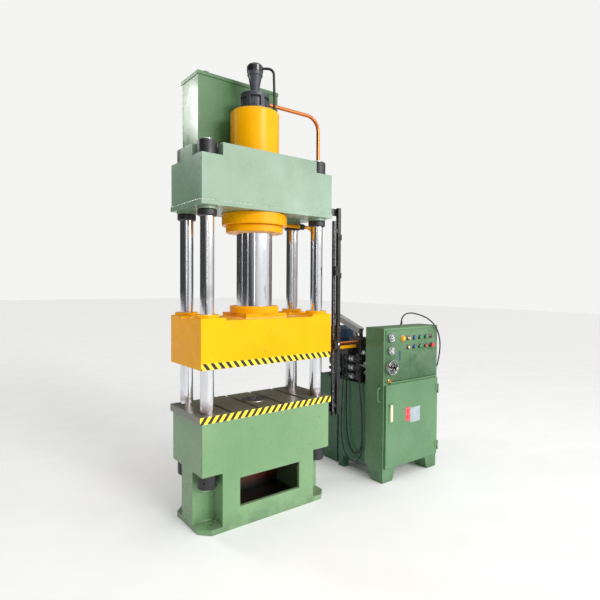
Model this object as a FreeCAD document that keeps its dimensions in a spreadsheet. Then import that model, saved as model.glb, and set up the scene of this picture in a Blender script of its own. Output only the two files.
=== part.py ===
import FreeCAD, Part
import math
import os
import Sketcher

# Four-column hydraulic press with its power unit and control cabinet, in millimetres.
# The origin is on the floor under the middle of the press: X to the right along the front,
# Y towards the back, Z up.

Vector = FreeCAD.Vector
doc = FreeCAD.newDocument("hydraulic_press")
sheet = doc.addObject("Spreadsheet::Sheet", "sizes")


class Size:
    """A length that keeps its number and the spreadsheet formula it is bound to."""

    def __init__(self, number, formula=None):
        self.number = float(number)
        self.formula = formula if formula is not None else repr(float(number))

    def join(self, other, sign, number):
        return Size(number, "(%s %s %s)" % (self.formula, sign, other.formula))

    def __add__(self, other):
        other = size(other)
        return self.join(other, "+", self.number + other.number)

    def __radd__(self, other):
        return size(other) + self

    def __sub__(self, other):
        other = size(other)
        return self.join(other, "-", self.number - other.number)

    def __rsub__(self, other):
        return size(other) - self

    def __mul__(self, other):
        other = size(other)
        return self.join(other, "*", self.number * other.number)

    def __rmul__(self, other):
        return size(other) * self

    def __truediv__(self, other):
        other = size(other)
        return self.join(other, "/", self.number / other.number)

    def __neg__(self):
        return size(0) - self


def size(value):
    return value if isinstance(value, Size) else Size(value)


class Cells:
    """The driving dimensions: each attribute is one aliased cell of the sheet."""

    def __init__(self):
        self.row = 0

    def add(self, title, **values):
        self.row += 1
        sheet.set("A%d" % self.row, title)
        for alias, number in values.items():
            self.row += 1
            sheet.set("A%d" % self.row, alias)
            sheet.set("B%d" % self.row, str(number))
            sheet.setAlias("B%d" % self.row, alias)
            setattr(self, alias, Size(number, "sizes." + alias))


c = Cells()
c.add("press frame", press_width=1080, press_depth=480, inset_side=78, inset_front=82,
      column_diameter=92, nut_diameter=128, nut_height=98, running_gap=0.3)
c.add("base", table_top=792, table_thickness=48, table_overhang=12, base_side_step=7,
      base_front_step=7.5, base_wall=26, base_notch=148, base_notch_top=396, foot_thickness=36,
      foot_chamfer=70, window_width=504, window_low=140, window_high=336, slot_pitch=210,
      slot_width=22, slot_foot=36, slot_depth=30, slot_foot_height=14, plug_diameter=170,
      plug_depth=30, anchor_hole=26, anchor_spacing_x=860, anchor_spacing_y=300)
c.add("crown", crown_bottom=2184, crown_height=379, crown_lip=30, lip_overhang=5,
      crown_notch=150, crown_notch_depth=83, crown_wall=28, collar_ring=20,
      collar_nut_height=44)
c.add("cylinder", barrel_diameter=355, barrel_top=2890, barrel_bore=280, barrel_end=30,
      flange_diameter=476, flange_height=84, gland_diameter=416, gland_height=50,
      ram_diameter=260, ram_top=2530, piston_height=100, ram_flange_diameter=360,
      ram_flange_height=50, ram_plate_side=340, ram_plate_height=32)
c.add("crosshead", head_width=1090, head_depth=479, head_bottom=1093, head_height=315,
      pad_height=18, pad_width=180, bush_diameter=161, bush_collar=22, head_wall=30)
c.add("prefill valve", valve_diameter=220, valve_height=135, neck_small=60, neck_large=112,
      neck_height=165, cap_height=60, hose_diameter=18)
c.add("overhead tank", tank_left=-360, tank_right=330, tank_front=190, tank_back=450,
      tank_bottom=2620, tank_top=3155, tank_wall=5, lid_thickness=25, lid_overhang=5,
      lid_overhang_back=25, bracket_width=60, bracket_start=30)
c.add("pipes", pipe_diameter=28, pipe_column=600, pipe_top=2985, pipe_bend=110, port_diameter=44,
      return_height=2110, return_offset=45, return_bend=80, feed_height=1150,
      feed_return_height=1108, union_diameter=46, union_start=452, union_length=42)
c.add("limit switch rails", rail_side=28, scale_side=20, rail_place=650, scale_place=602,
      rail_setback=-200, rail_bottom=620, rail_top=2247, scale_top=2144)
c.add("control cabinet", cabinet_left=1050, cabinet_width=705, cabinet_front=-322,
      cabinet_depth=205, cabinet_top=1290, cabinet_bottom=107, sheet_thickness=4,
      leg_width=155, leg_taper=38, leg_foot=122, panel_low=822, door_margin=14,
      door_thickness=18, door_gap=3)
c.add("power unit", oil_tank_back=215, oil_tank_bottom=104, oil_tank_top=790, cover_plate=8,
      box_left=1090, box_width=460, box_front=285, box_back=545, box_top=784,
      motor_diameter=260, motor_place_x=1265, motor_place_y=410, motor_top=1250,
      block_left=1082, block_front=-25, block_width=110, block_depth=150, block_height=385)
c.add("cabinet door", hinge_diameter=10, hinge_length=60, knuckle_length=22, dish_width=48,
      dish_height=172, dish_thickness=3, lever_width=30, lever_length=136, lever_thickness=11,
      lever_pivot=648, pin_diameter=6, pin_clearance=0.05)
c.add("panel fittings", gauge_small=70, gauge_large=120, button_pitch=77, button_size=22,
      bezel_size=31, button_travel=4, stop_size=40)
c.add("screws", gland_screw=24, gland_screw_height=14, ram_bolt=26, ram_bolt_height=16,
      screw_sink=2)

doc.recompute()

column_x = c.press_width / 2 - c.inset_side
column_y = c.press_depth / 2 - c.inset_front
base_width = c.press_width - 2 * c.base_side_step
base_depth = c.press_depth - 2 * c.base_front_step
table_bottom = c.table_top - c.table_thickness
crown_top = c.crown_bottom + c.crown_height
lip_bottom = c.crown_bottom - c.crown_lip
notch_floor = crown_top - c.crown_notch_depth
head_mid = c.head_bottom + c.head_height
head_top = head_mid + c.pad_height
gland_bottom = lip_bottom - c.flange_height - c.gland_height
plate_top = head_mid + c.ram_plate_height
corners = [(-1, -1), (1, -1), (-1, 1), (1, 1)]


# small builders

def bind(item, prop, value):
    value = size(value)
    if "sizes." in value.formula:
        item.setExpression(prop, value.formula)
    else:
        setattr(item, prop, value.number)
    return item


def place(item, at, turn=None):
    if turn is not None:
        item.Placement = FreeCAD.Placement(Vector(0, 0, 0), turn)
    x, y, z = (size(v) for v in at)
    item.Placement.Base = Vector(x.number, y.number, z.number)
    for axis, value in zip("xyz", (x, y, z)):
        if "sizes." in value.formula:
            item.setExpression("Placement.Base." + axis, value.formula)
    return item


names_used = {}


def named(kind, name):
    names_used[name] = names_used.get(name, 0) + 1
    return doc.addObject(kind, "%s_%d" % (name, names_used[name]))


def block(low, dims, name="block"):
    """A box from its low corner and its three side lengths."""
    item = named("Part::Box", name)
    for prop, value in zip(("Length", "Width", "Height"), dims):
        bind(item, prop, value)
    return place(item, low)


directions = {"x": FreeCAD.Rotation(Vector(0, 1, 0), 90),
              "y": FreeCAD.Rotation(Vector(1, 0, 0), -90),
              "z": FreeCAD.Rotation()}


def rod(start, diameter, length, along="z", name="rod"):
    """A round bar from the middle of its first end."""
    item = named("Part::Cylinder", name)
    bind(item, "Radius", size(diameter) / 2)
    bind(item, "Height", length)
    return place(item, start, directions[along])


def hexagon(start, across, length, along="z", name="hexagon"):
    item = named("Part::Prism", name)
    item.Polygon = 6
    bind(item, "Circumradius", size(across) / math.sqrt(3))
    bind(item, "Height", length)
    return place(item, start, directions[along])


def fuse(items, name="joined"):
    if len(items) == 1:
        return items[0]
    item = named("Part::MultiFuse", name)
    item.Shapes = items
    item.Refine = True
    return item


def cut(base, tools, name="cut"):
    item = named("Part::Cut", name)
    item.Base = base
    item.Tool = fuse(tools, name + "_tool")
    item.Refine = True
    return item


def common(first, second, name="common"):
    item = named("Part::Common", name)
    item.Base = first
    item.Tool = second
    return item


def group(items, name="group"):
    item = named("Part::Compound", name)
    item.Links = items
    return item


def round_edges(base, radius, wanted, name="rounded"):
    """Rounds the edges for which wanted(edge) is true."""
    doc.recompute()
    item = named("Part::Fillet", name)
    item.Base = base
    radius = size(radius).number
    item.Edges = [(i + 1, radius, radius) for i, edge in enumerate(base.Shape.Edges) if wanted(edge)]
    return item


def edge_at(axis, value):
    """True for edges that lie whole at one coordinate."""
    number = size(value).number

    def wanted(edge):
        box = edge.BoundBox
        low, high = getattr(box, axis.upper() + "Min"), getattr(box, axis.upper() + "Max")
        return abs(low - number) < 0.01 and abs(high - number) < 0.01
    return wanted


def drawn(body, plane, outline, circles=()):
    """A sketch of one closed outline, and circles, with every point bound to the sheet."""
    sketch = body.newObject("Sketcher::SketchObject", body.Name + "_sketch")
    origin = [o for o in body.Origin.OriginFeatures if o.Role == plane][0]
    sketch.AttachmentSupport = [(origin, "")]
    sketch.MapMode = "FlatFace"
    points = [(size(a), size(b)) for a, b in outline]
    count = len(points)
    for i in range(count):
        first, last = points[i], points[(i + 1) % count]
        sketch.addGeometry(Part.LineSegment(Vector(first[0].number, first[1].number, 0),
                                            Vector(last[0].number, last[1].number, 0)), False)
    for i in range(count):
        sketch.addConstraint(Sketcher.Constraint("Coincident", i, 2, (i + 1) % count, 1))

    def pin(geometry, spot, value, kind, axis_line, tag):
        if abs(value.number) < 1e-9:
            sketch.addConstraint(Sketcher.Constraint("PointOnObject", geometry, spot, axis_line))
            return
        number = sketch.addConstraint(
            Sketcher.Constraint(kind, -1, 1, geometry, spot, value.number))
        sketch.renameConstraint(number, tag)
        if "sizes." in value.formula:
            sketch.setExpression("Constraints." + tag, value.formula)

    for i, (a, b) in enumerate(points):
        pin(i, 1, a, "DistanceX", -2, "across%d" % i)
        pin(i, 1, b, "DistanceY", -1, "up%d" % i)
    for i, (a, b, diameter) in enumerate(circles):
        a, b, diameter = size(a), size(b), size(diameter)
        spot = sketch.addGeometry(Part.Circle(Vector(a.number, b.number, 0), Vector(0, 0, 1),
                                              diameter.number / 2), False)
        pin(spot, 3, a, "DistanceX", -2, "centre_across%d" % i)
        pin(spot, 3, b, "DistanceY", -1, "centre_up%d" % i)
        number = sketch.addConstraint(Sketcher.Constraint("Diameter", spot, diameter.number))
        sketch.renameConstraint(number, "diameter%d" % i)
        if "sizes." in diameter.formula:
            sketch.setExpression("Constraints.diameter%d" % i, diameter.formula)
    return sketch


def turned(profile, at=(0, 0, 0), name="turned", turn=None):
    """A body of revolution about its own Z from (radius, height) points."""
    body = named("PartDesign::Body", name)
    sketch = drawn(body, "XZ_Plane", profile)
    feature = body.newObject("PartDesign::Revolution", body.Name + "_turn")
    feature.Profile = sketch
    feature.ReferenceAxis = (sketch, ["V_Axis"])
    feature.Angle = 360
    return place(body, at, turn)


def padded(outline, height, at=(0, 0, 0), circles=(), name="padded"):
    """A plate padded up Z from an outline of (x, y) points with round holes."""
    body = named("PartDesign::Body", name)
    sketch = drawn(body, "XY_Plane", outline, circles)
    feature = body.newObject("PartDesign::Pad", body.Name + "_pad")
    feature.Profile = sketch
    bind(feature, "Length", height)
    return place(body, at)


def rectangle(width, depth):
    width, depth = size(width) / 2, size(depth) / 2
    return [(-width, -depth), (width, -depth), (width, depth), (-width, depth)]


def tube_shape(points, diameter, radii):
    """A round bar along straight runs joined by tangent arcs; radii has one per inner point."""
    points = [Vector(*p) for p in points]
    edges = []
    start = points[0]
    for i in range(1, len(points) - 1):
        back = (points[i - 1] - points[i]).normalize()
        ahead = (points[i + 1] - points[i]).normalize()
        half = back.getAngle(ahead) / 2
        reach = radii[i - 1] / math.tan(half)
        first, last = points[i] + back * reach, points[i] + ahead * reach
        inward = (back + ahead).normalize()
        middle = points[i] + inward * (radii[i - 1] / math.sin(half) - radii[i - 1])
        if (first - start).Length > 1e-6:
            edges.append(Part.LineSegment(start, first).toShape())
        edges.append(Part.Arc(first, middle, last).toShape())
        start = last
    edges.append(Part.LineSegment(start, points[-1]).toShape())
    path = Part.Wire(edges)
    heading = points[1] - points[0]
    section = Part.Wire([Part.Circle(points[0], heading, diameter / 2).toShape()])
    shape = path.makePipeShell([section], True, False)
    expected = math.pi * diameter * diameter / 4 * path.Length
    if abs(shape.Volume - expected) > 0.01 * expected:
        raise ValueError("a tube's volume is off")
    return shape


def piped(points, diameter, radii, name):
    """A rigid pipe as a feature of its own, from sizes read from the sheet."""
    item = named("Part::Feature", name)
    numbers = [[size(v).number for v in p] for p in points]
    item.Shape = tube_shape(numbers, size(diameter).number, [size(r).number for r in radii])
    item.Placement = FreeCAD.Placement()
    return item


nodes = {}


def node(name, item):
    """Keeps one finished sub-part under its own label."""
    item.Label = name
    nodes[name] = item
    return item


# base and table

half_x, half_y = base_width / 2, base_depth / 2
clip = c.foot_chamfer
foot_outline = [(-half_x + clip, -half_y), (half_x - clip, -half_y), (half_x, -half_y + clip),
                (half_x, half_y - clip), (half_x - clip, half_y), (-half_x + clip, half_y),
                (-half_x, half_y - clip), (-half_x, -half_y + clip)]


def at_corners(x, y):
    return [(sx * x, sy * y) for sx, sy in corners]


def corner_block(x_far, y_far, sx, sy, width, depth, low, height, name):
    """A box that reaches in from one corner of a rectangle."""
    low_x = x_far * -1 if sx < 0 else x_far - width
    low_y = y_far * -1 if sy < 0 else y_far - depth
    return block((low_x, low_y, low), (width, depth, height), name)


def make_base():
    past = 20
    anchors = [(x, y, c.anchor_hole) for x, y in
               at_corners(c.anchor_spacing_x / 2, c.anchor_spacing_y / 2)]
    foot = padded(foot_outline, c.foot_thickness, circles=anchors, name="foot_plate")
    body = block((-half_x, -half_y, c.foot_thickness),
                 (base_width, base_depth, table_bottom - c.foot_thickness), "base_body")
    notches = [corner_block(half_x + past, half_y + past, sx, sy, c.base_notch + past,
                            c.base_notch + past, c.foot_thickness,
                            c.base_notch_top - c.foot_thickness, "base_notch")
               for sx, sy in corners]
    inner_x = half_x - c.base_notch - c.base_wall
    inner_y = half_y - c.base_wall
    cavity = block((-inner_x, -inner_y, c.foot_thickness),
                   (2 * inner_x, 2 * inner_y, table_bottom - c.base_wall - c.foot_thickness),
                   "base_cavity")
    window = block((-c.window_width / 2, -half_y - past, c.window_low),
                   (c.window_width, c.base_wall + 2 * past, c.window_high - c.window_low),
                   "base_window")
    bores = [rod((x, y, c.base_notch_top - past), c.column_diameter, c.table_top, name="base_bore")
             for x, y in at_corners(column_x, column_y)]
    shell = cut(body, notches + [cavity, window] + bores, "base_shell")
    node("base_frame", fuse([shell, foot], "base_frame"))


def make_table():
    width, depth = c.press_width + 2 * c.table_overhang, c.press_depth - 5
    plate = padded(rectangle(width, depth), c.table_thickness, (0, 0, table_bottom),
                   [(x, y, c.column_diameter) for x, y in at_corners(column_x, column_y)],
                   "table_plate")
    slots = []
    for i in range(4):
        middle = (i - 1.5) * c.slot_pitch
        slots.append(block((middle - c.slot_width / 2, -depth, c.table_top - c.slot_depth),
                           (c.slot_width, depth * 2, c.slot_depth * 2), "slot_neck"))
        slots.append(block((middle - c.slot_foot / 2, -depth, c.table_top - c.slot_depth),
                           (c.slot_foot, depth * 2, c.slot_foot_height), "slot_foot"))
    seat = rod((0, 0, c.table_top - c.plug_depth), c.plug_diameter + 1, c.plug_depth * 2,
               name="plug_seat")
    node("table_plate", cut(plate, slots + [seat], "table"))
    edge = 2
    radius = c.plug_diameter / 2
    node("table_plug", turned([(0, 0), (radius, 0), (radius, c.plug_depth + 4 - edge),
                               (radius - edge, c.plug_depth + 4), (18, c.plug_depth + 4),
                               (18, c.plug_depth - 10), (0, c.plug_depth - 10)],
                              (0, 0, c.table_top - c.plug_depth), "table_plug"))


def make_columns():
    low = c.base_notch_top - c.nut_height - 12
    high = notch_floor + c.nut_height + 10
    edge = 5
    radius = c.column_diameter / 2
    length = high - low
    bars = [turned([(0, 0), (radius - edge, 0), (radius, edge), (radius, length - edge),
                    (radius - edge, length), (0, length)], (x, y, low), "column")
            for x, y in at_corners(column_x, column_y)]
    node("columns", group(bars, "columns"))


def nut(x, y, low, height, name):
    """A round column nut with a chamfer at both ends and four blind spanner holes."""
    edge = 6
    inner, outer = c.column_diameter / 2, c.nut_diameter / 2
    ring = turned([(inner, 0), (outer - edge, 0), (outer, edge), (outer, height - edge),
                   (outer - edge, height), (inner, height)], (x, y, low), name)
    holes = []
    middle = low + size(height) / 2
    seat = outer - 9
    for k in range(4):
        angle = 45 + 90 * k
        hole = rod((0, 0, 0), 14, c.nut_diameter, "x", "spanner_hole")
        turn = FreeCAD.Rotation(Vector(0, 0, 1), angle) * directions["x"]
        holes.append(place(hole, (x + seat * math.cos(math.radians(angle)),
                                  y + seat * math.sin(math.radians(angle)), middle), turn))
    return cut(ring, holes, name + "_drilled")


def make_nuts():
    spots = at_corners(column_x, column_y)
    node("column_nuts", group([nut(x, y, low, c.nut_height, "column_nut") for x, y in spots
                               for low in (notch_floor, c.base_notch_top - c.nut_height)],
                              "column_nuts"))
    low = lip_bottom - c.collar_ring - c.collar_nut_height
    node("column_collar_nuts", group([nut(x, y, low, c.collar_nut_height, "collar_nut")
                                      for x, y in spots], "collar_nuts"))


# crown and cylinder

def make_crown():
    past = 20
    half_w, half_d = c.press_width / 2, c.press_depth / 2
    body = block((-half_w, -half_d, c.crown_bottom),
                 (c.press_width, c.press_depth, c.crown_height), "crown_body")
    lip = padded(rectangle(c.press_width + 2 * c.lip_overhang, c.press_depth + 2 * c.lip_overhang),
                 c.crown_lip, (0, 0, lip_bottom), name="crown_lip")
    rings = [rod((x, y, lip_bottom - c.collar_ring), c.nut_diameter + 8, c.collar_ring,
                 name="collar_ring") for x, y in at_corners(column_x, column_y)]
    notches = [corner_block(half_w + past, half_d + past, sx, sy, c.crown_notch + past,
                            c.crown_notch + past, notch_floor, c.crown_notch_depth + past,
                            "crown_notch") for sx, sy in corners]
    bores = [rod((x, y, gland_bottom), c.column_diameter, c.crown_height * 2, name="crown_bore")
             for x, y in at_corners(column_x, column_y)]
    well = rod((0, 0, gland_bottom), c.barrel_diameter, c.crown_height * 2, name="barrel_well")
    inner = c.barrel_diameter / 2 + c.crown_wall
    outer = half_w - c.crown_notch - c.crown_wall
    hollows = [block((low, -half_d + c.crown_wall, c.crown_bottom + c.crown_wall / 2),
                     (outer - inner, c.press_depth - 2 * c.crown_wall,
                      c.crown_height - 1.5 * c.crown_wall), "crown_hollow")
               for low in (inner, -outer)]
    solid = fuse([body, lip] + rings, "crown_solid")
    node("crown", cut(solid, notches + bores + [well] + hollows, "crown"))


def ring_of(count, radius, start=0.0):
    return [(radius * math.cos(math.radians(start + 360.0 * k / count)),
             radius * math.sin(math.radians(start + 360.0 * k / count))) for k in range(count)]


gland_screws = ring_of(12, c.gland_diameter / 2 - 26, 15)
ram_bolts = ring_of(8, c.ram_flange_diameter / 2 - 26, 22.5)


def make_cylinder():
    radius, bore = c.barrel_diameter / 2, c.barrel_bore / 2
    height = c.barrel_top - lip_bottom
    edge = 8
    node("cylinder_barrel", turned([(bore, 0), (radius, 0), (radius, height - edge),
                                    (radius - edge, height), (0, height),
                                    (0, height - c.barrel_end), (bore, height - c.barrel_end)],
                                   (0, 0, lip_bottom), "barrel"))
    edge = 4
    outer = c.flange_diameter / 2
    low = lip_bottom - c.flange_height
    flange = turned([(bore, 0), (outer - edge, 0), (outer, edge),
                     (outer, c.flange_height - edge), (outer - edge, c.flange_height),
                     (bore, c.flange_height)], (0, 0, low), "flange")
    port = rod((c.barrel_diameter / 2, c.return_offset, c.return_height), c.port_diameter,
               outer - c.barrel_diameter / 2 + 8, "x", "flange_port")
    node("cylinder_flange", fuse([flange, port], "cylinder_flange"))
    gland = c.gland_diameter / 2
    rod_hole = c.ram_diameter / 2 + c.running_gap
    ring = turned([(rod_hole, 0), (gland - edge, 0), (gland, edge),
                   (gland, c.gland_height - edge), (gland - edge, c.gland_height),
                   (rod_hole, c.gland_height)], (0, 0, gland_bottom), "gland")
    seats = [rod((x, y, gland_bottom - 1), c.gland_screw + 2,
                 c.gland_screw_height + c.screw_sink + 1, name="screw_seat")
             for x, y in gland_screws]
    node("gland_ring", cut(ring, seats, "gland_ring"))


def cap_screw(x, y, low, diameter, height, name, up=True):
    """A socket-head screw's head, its hexagon socket above or below."""
    x, y, low = size(x), size(y), size(low)
    head = rod((x, y, low), diameter, height, name=name)
    deep = size(height) / 2
    socket = hexagon((x, y, low + deep if up else low - 1), size(diameter) * 0.5, deep + 1,
                     name=name + "_socket")
    return cut(head, [socket], name + "_head")


def make_valve():
    radius = c.valve_diameter / 2
    low, high = c.neck_small / 2, c.neck_large / 2
    body_top = c.valve_height
    neck_top = body_top + c.neck_height
    profile = [(0, 0), (radius, 0), (radius, 32), (radius - 24, 32), (radius - 24, body_top - 36),
               (radius - 4, body_top - 30), (radius - 4, body_top - 4), (radius - 8, body_top),
               (low + 14, body_top), (low, body_top + 14), (low, body_top + 34),
               (high - 6, neck_top - 30), (high, neck_top - 26), (high, neck_top), (0, neck_top)]
    body = turned(profile, (0, 0, c.barrel_top), "valve_body")
    lugs = []
    for k in range(6):
        lug = block((0, -14, 0), (radius - 6, 28, body_top - 40), "valve_lug")
        angle = 30 + 60 * k
        turn = FreeCAD.Rotation(Vector(0, 0, 1), angle)
        shift = turn.multVec(Vector(0, -14, 0))
        place(lug, (shift.x, shift.y, c.barrel_top + 20), turn)
        lugs.append(lug)
    port = rod((0, 0, c.pipe_top), c.port_diameter, c.valve_diameter / 2 + 8, "x", "valve_port")
    node("prefill_valve", fuse([body, port] + lugs, "prefill_valve"))
    cap = high + 3
    node("prefill_cap", turned([(0, 0), (cap, 0), (cap, c.cap_height - 22),
                                (cap - 10, c.cap_height - 8), (cap - 26, c.cap_height - 4),
                                (cap - 26, c.cap_height), (0, c.cap_height)],
                               (0, 0, c.barrel_top + neck_top), "valve_cap"))
    top = c.barrel_top + neck_top + c.cap_height - 30
    aside = math.radians(-35)
    route = [(cap, top), (136, top), (142, c.barrel_top + 120), (142, c.barrel_top)]
    node("pilot_hose", piped([(r * math.cos(aside), r * math.sin(aside), z) for r, z in route],
                             c.hose_diameter, [44, 400], "pilot_hose"))


def make_screws():
    heads = [cap_screw(x, y, gland_bottom + c.screw_sink, c.gland_screw, c.gland_screw_height,
                       "gland_screw", up=False) for x, y in gland_screws]
    heads += [cap_screw(x, y, c.barrel_top + 32, 20, 14, "valve_screw")
              for x, y in ring_of(6, c.valve_diameter / 2 - 12)]
    node("cap_screws", group(heads, "cap_screws"))


def make_head_tank():
    wall = c.tank_wall
    width, depth = c.tank_right - c.tank_left, c.tank_back - c.tank_front
    height = c.tank_top - c.tank_bottom
    box = block((c.tank_left, c.tank_front, c.tank_bottom), (width, depth, height), "tank_box")
    inside = block((c.tank_left + wall, c.tank_front + wall, c.tank_bottom + wall),
                   (width - 2 * wall, depth - 2 * wall, height), "tank_inside")
    node("head_tank", cut(box, [inside], "head_tank"))
    over = c.lid_overhang
    lid = block((c.tank_left - over, c.tank_front - over, c.tank_top),
                (width + 2 * over, depth + over + c.lid_overhang_back, c.lid_thickness), "lid")
    breather = turned([(0, 0), (22, 0), (22, 18), (34, 22), (34, 52), (28, 58), (0, 58)],
                      (c.tank_left + 120, c.tank_front + 130, c.tank_top + c.lid_thickness),
                      "breather")
    node("head_tank_lid", fuse([lid, breather], "head_tank_lid"))
    rails = [block((x, c.bracket_start, crown_top),
                   (c.bracket_width, c.tank_back - c.bracket_start, c.tank_bottom - crown_top),
                   "tank_bracket")
             for x in (c.tank_left + 70, c.tank_right - 70 - c.bracket_width)]
    node("head_tank_brackets", group(rails, "tank_brackets"))


# crosshead and ram

def make_crosshead():
    past = 20
    half_w, half_d = c.head_width / 2, c.head_depth / 2
    body = block((-half_w, -half_d, c.head_bottom), (c.head_width, c.head_depth, c.head_height),
                 "head_body")
    pads = [corner_block(half_w, half_d, sx, sy, c.pad_width, c.pad_width, head_mid,
                         c.pad_height, "head_pad") for sx, sy in corners]
    seat = c.bush_diameter / 2 - 14
    bores = [rod((x, y, c.head_bottom - past), 2 * seat, c.head_height * 2, name="bush_seat")
             for x, y in at_corners(column_x, column_y)]
    inner = c.ram_flange_diameter / 2
    outer = half_w - c.pad_width - c.head_wall
    hollows = [block((low, -half_d + c.head_wall, c.head_bottom + c.head_wall),
                     (outer - inner, c.head_depth - 2 * c.head_wall,
                      c.head_height - 2 * c.head_wall), "head_hollow")
               for low in (inner, -outer)]
    node("crosshead", cut(fuse([body] + pads, "head_solid"), bores + hollows, "crosshead"))
    bore = c.column_diameter / 2 + c.running_gap
    collar = c.bush_diameter / 2
    length = head_top - c.head_bottom
    profile = [(bore, 0), (seat, 0), (seat, length), (collar, length),
               (collar, length + c.bush_collar - 3), (collar - 3, length + c.bush_collar),
               (bore, length + c.bush_collar)]
    node("guide_bushes", group([turned(profile, (x, y, c.head_bottom), "guide_bush")
                                for x, y in at_corners(column_x, column_y)], "guide_bushes"))


def make_ram():
    radius, piston = c.ram_diameter / 2, c.barrel_bore / 2 - c.running_gap
    length = c.ram_top - head_mid
    node("ram", turned([(0, 0), (radius, 0), (radius, length - c.piston_height),
                        (piston, length - c.piston_height), (piston, length), (0, length)],
                       (0, 0, head_mid), "ram"))
    collar = c.ram_flange_diameter / 2
    plate = block((-c.ram_plate_side / 2, -c.ram_plate_side / 2, head_mid),
                  (c.ram_plate_side, c.ram_plate_side, c.ram_plate_height), "ram_plate")
    round_part = turned([(0, 0), (collar, 0), (collar, c.ram_flange_height - 6),
                         (collar - 6, c.ram_flange_height), (0, c.ram_flange_height)],
                        (0, 0, plate_top), "ram_collar")
    hole = rod((0, 0, head_mid - 10), c.ram_diameter, 200, name="ram_hole")
    seat_floor = plate_top + c.ram_flange_height - c.ram_bolt_height - c.screw_sink
    seats = [rod((x, y, seat_floor), c.ram_bolt + 2, 60, name="bolt_seat") for x, y in ram_bolts]
    node("ram_flange", cut(fuse([plate, round_part], "ram_flange_solid"), [hole] + seats,
                           "ram_flange"))
    node("ram_bolts", group([cap_screw(x, y, seat_floor, c.ram_bolt, c.ram_bolt_height,
                                       "ram_bolt") for x, y in ram_bolts], "ram_bolts"))
    arm = block((c.head_width / 2, c.rail_setback - 20, head_mid - 110), (14, 40, 80), "cam_foot")
    cam = padded([(0, -60), (16, -44), (16, 44), (0, 60)], 6,
                 (c.head_width / 2 + 4, 0, 0), name="cam_strip")
    turn = FreeCAD.Rotation(Vector(1, 0, 0), 90)
    place(cam, (c.head_width / 2 + 14, c.rail_setback + 3, head_mid - 70), turn)
    node("trip_cam", fuse([arm, cam], "trip_cam"))


# pipes and limit-switch rails

def make_pipes():
    x = c.pipe_column
    port = c.valve_diameter / 2 + 8
    bend = c.pipe_bend
    node("copper_pipe", piped([(port, 0, c.pipe_top), (x, 0, c.pipe_top), (x, 0, c.feed_height),
                               (c.block_left, 0, c.feed_height)],
                              c.pipe_diameter, [bend, c.return_bend], "copper_pipe"))
    y = c.return_offset
    node("return_pipe", piped([(c.flange_diameter / 2 + 8, y, c.return_height), (x, y, c.return_height),
                               (x, y, c.feed_return_height),
                               (c.block_left, y, c.feed_return_height)],
                              c.pipe_diameter, [c.return_bend, c.return_bend], "return_pipe"))
    radius = c.pipe_diameter / 2
    outer = c.union_diameter / 2
    union = turned([(radius, 0), (outer - 4, 0), (outer, 4), (outer, c.union_length - 4),
                    (outer - 4, c.union_length), (radius, c.union_length)],
                   (c.union_start, y, c.return_height), "union", directions["x"])
    base = c.press_width / 2
    clamp = block((base, -26, c.crown_bottom + 170), (x + 24 - base, y + 52, 34), "clamp")
    holes = [rod((x, v, c.crown_bottom + 100), c.pipe_diameter, 200, name="clamp_hole")
             for v in (size(0), y)]
    node("pipe_unions", group([union, cut(clamp, holes, "clamp_cut")], "pipe_unions"))


def make_rails():
    y = c.rail_setback
    side, thin = c.rail_side, c.scale_side
    rail = block((c.rail_place - side / 2, y - side / 2, c.rail_bottom),
                 (side, side, c.rail_top - c.rail_bottom), "rail")
    hollow = block((c.rail_place - side / 2 + 3, y - side / 2 + 3, c.rail_bottom - 5),
                   (side - 6, side - 6, c.rail_top - c.rail_bottom + 10), "rail_hollow")
    scale = block((c.scale_place - thin / 2, y - thin / 2, c.rail_bottom),
                  (thin, thin, c.scale_top - c.rail_bottom), "scale_rail")
    slot = block((c.scale_place - 4, y - thin / 2 - 1, c.rail_bottom + 110),
                 (8, 7, c.scale_top - c.rail_bottom - 220), "scale_slot")
    gap_start = c.scale_place + thin / 2
    links = [block((gap_start, y - 8, z), (c.rail_place - side / 2 - gap_start, 16, 30), "link")
             for z in (c.rail_bottom + 60, c.rail_bottom + 760, c.scale_top - 90)]
    top = block((c.press_width / 2, y + side / 2, c.rail_top - 60),
                (c.rail_place + side / 2 - c.press_width / 2, 10, 55), "rail_top_bracket")
    low = block((base_width / 2, y + side / 2, c.rail_bottom + 30),
                (c.rail_place + side / 2 - base_width / 2, 10, 60), "rail_low_bracket")
    outside = fuse([cut(rail, [hollow], "rail_tube"), cut(scale, [slot], "scale_bar")] + links
                   + [top, low], "limit_rails")
    node("limit_rails", outside)
    bodies = []
    for name, z in (("limit_lever_lower", size(1150)), ("limit_lever_upper", size(1720))):
        front = y - thin / 2
        case = block((c.scale_place - 16, front - 34, z), (32, 34, 70), "switch_case")
        stem = rod((c.scale_place, front - 42, z + 52), 12, 8, "y", "switch_stem")
        bodies.append(fuse([case, stem], "limit_switch"))
        arm_y = front - 46
        hub = rod((c.scale_place, arm_y - 4, z + 52), 16, 8 - c.running_gap, "y", "lever_hub")
        arm = block((c.scale_place - 32, arm_y - 2, z + 47), (32, 4, 10), "lever_arm")
        roller = rod((c.scale_place - 32, arm_y - 7, z + 52), 16, 10, "y", "lever_roller")
        node(name, fuse([hub, arm, roller], name))
    node("limit_switches", group(bodies, "limit_switches"))


# power unit

cabinet_right = c.cabinet_left + c.cabinet_width
cabinet_back = c.cabinet_front + c.cabinet_depth
oil_tank_depth = c.oil_tank_back - cabinet_back
box_cover_top = c.box_top + c.cover_plate
tank_cover_top = c.oil_tank_top + c.cover_plate


def hollow_box(low, dims, wall, name):
    x, y, z = (size(v) for v in low)
    width, depth, height = dims
    outside = block((x, y, z), dims, name)
    inside = block((x + wall, y + wall, z + wall),
                   (width - 2 * wall, depth - 2 * wall, height), name + "_inside")
    return cut(outside, [inside], name + "_shell")


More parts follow.
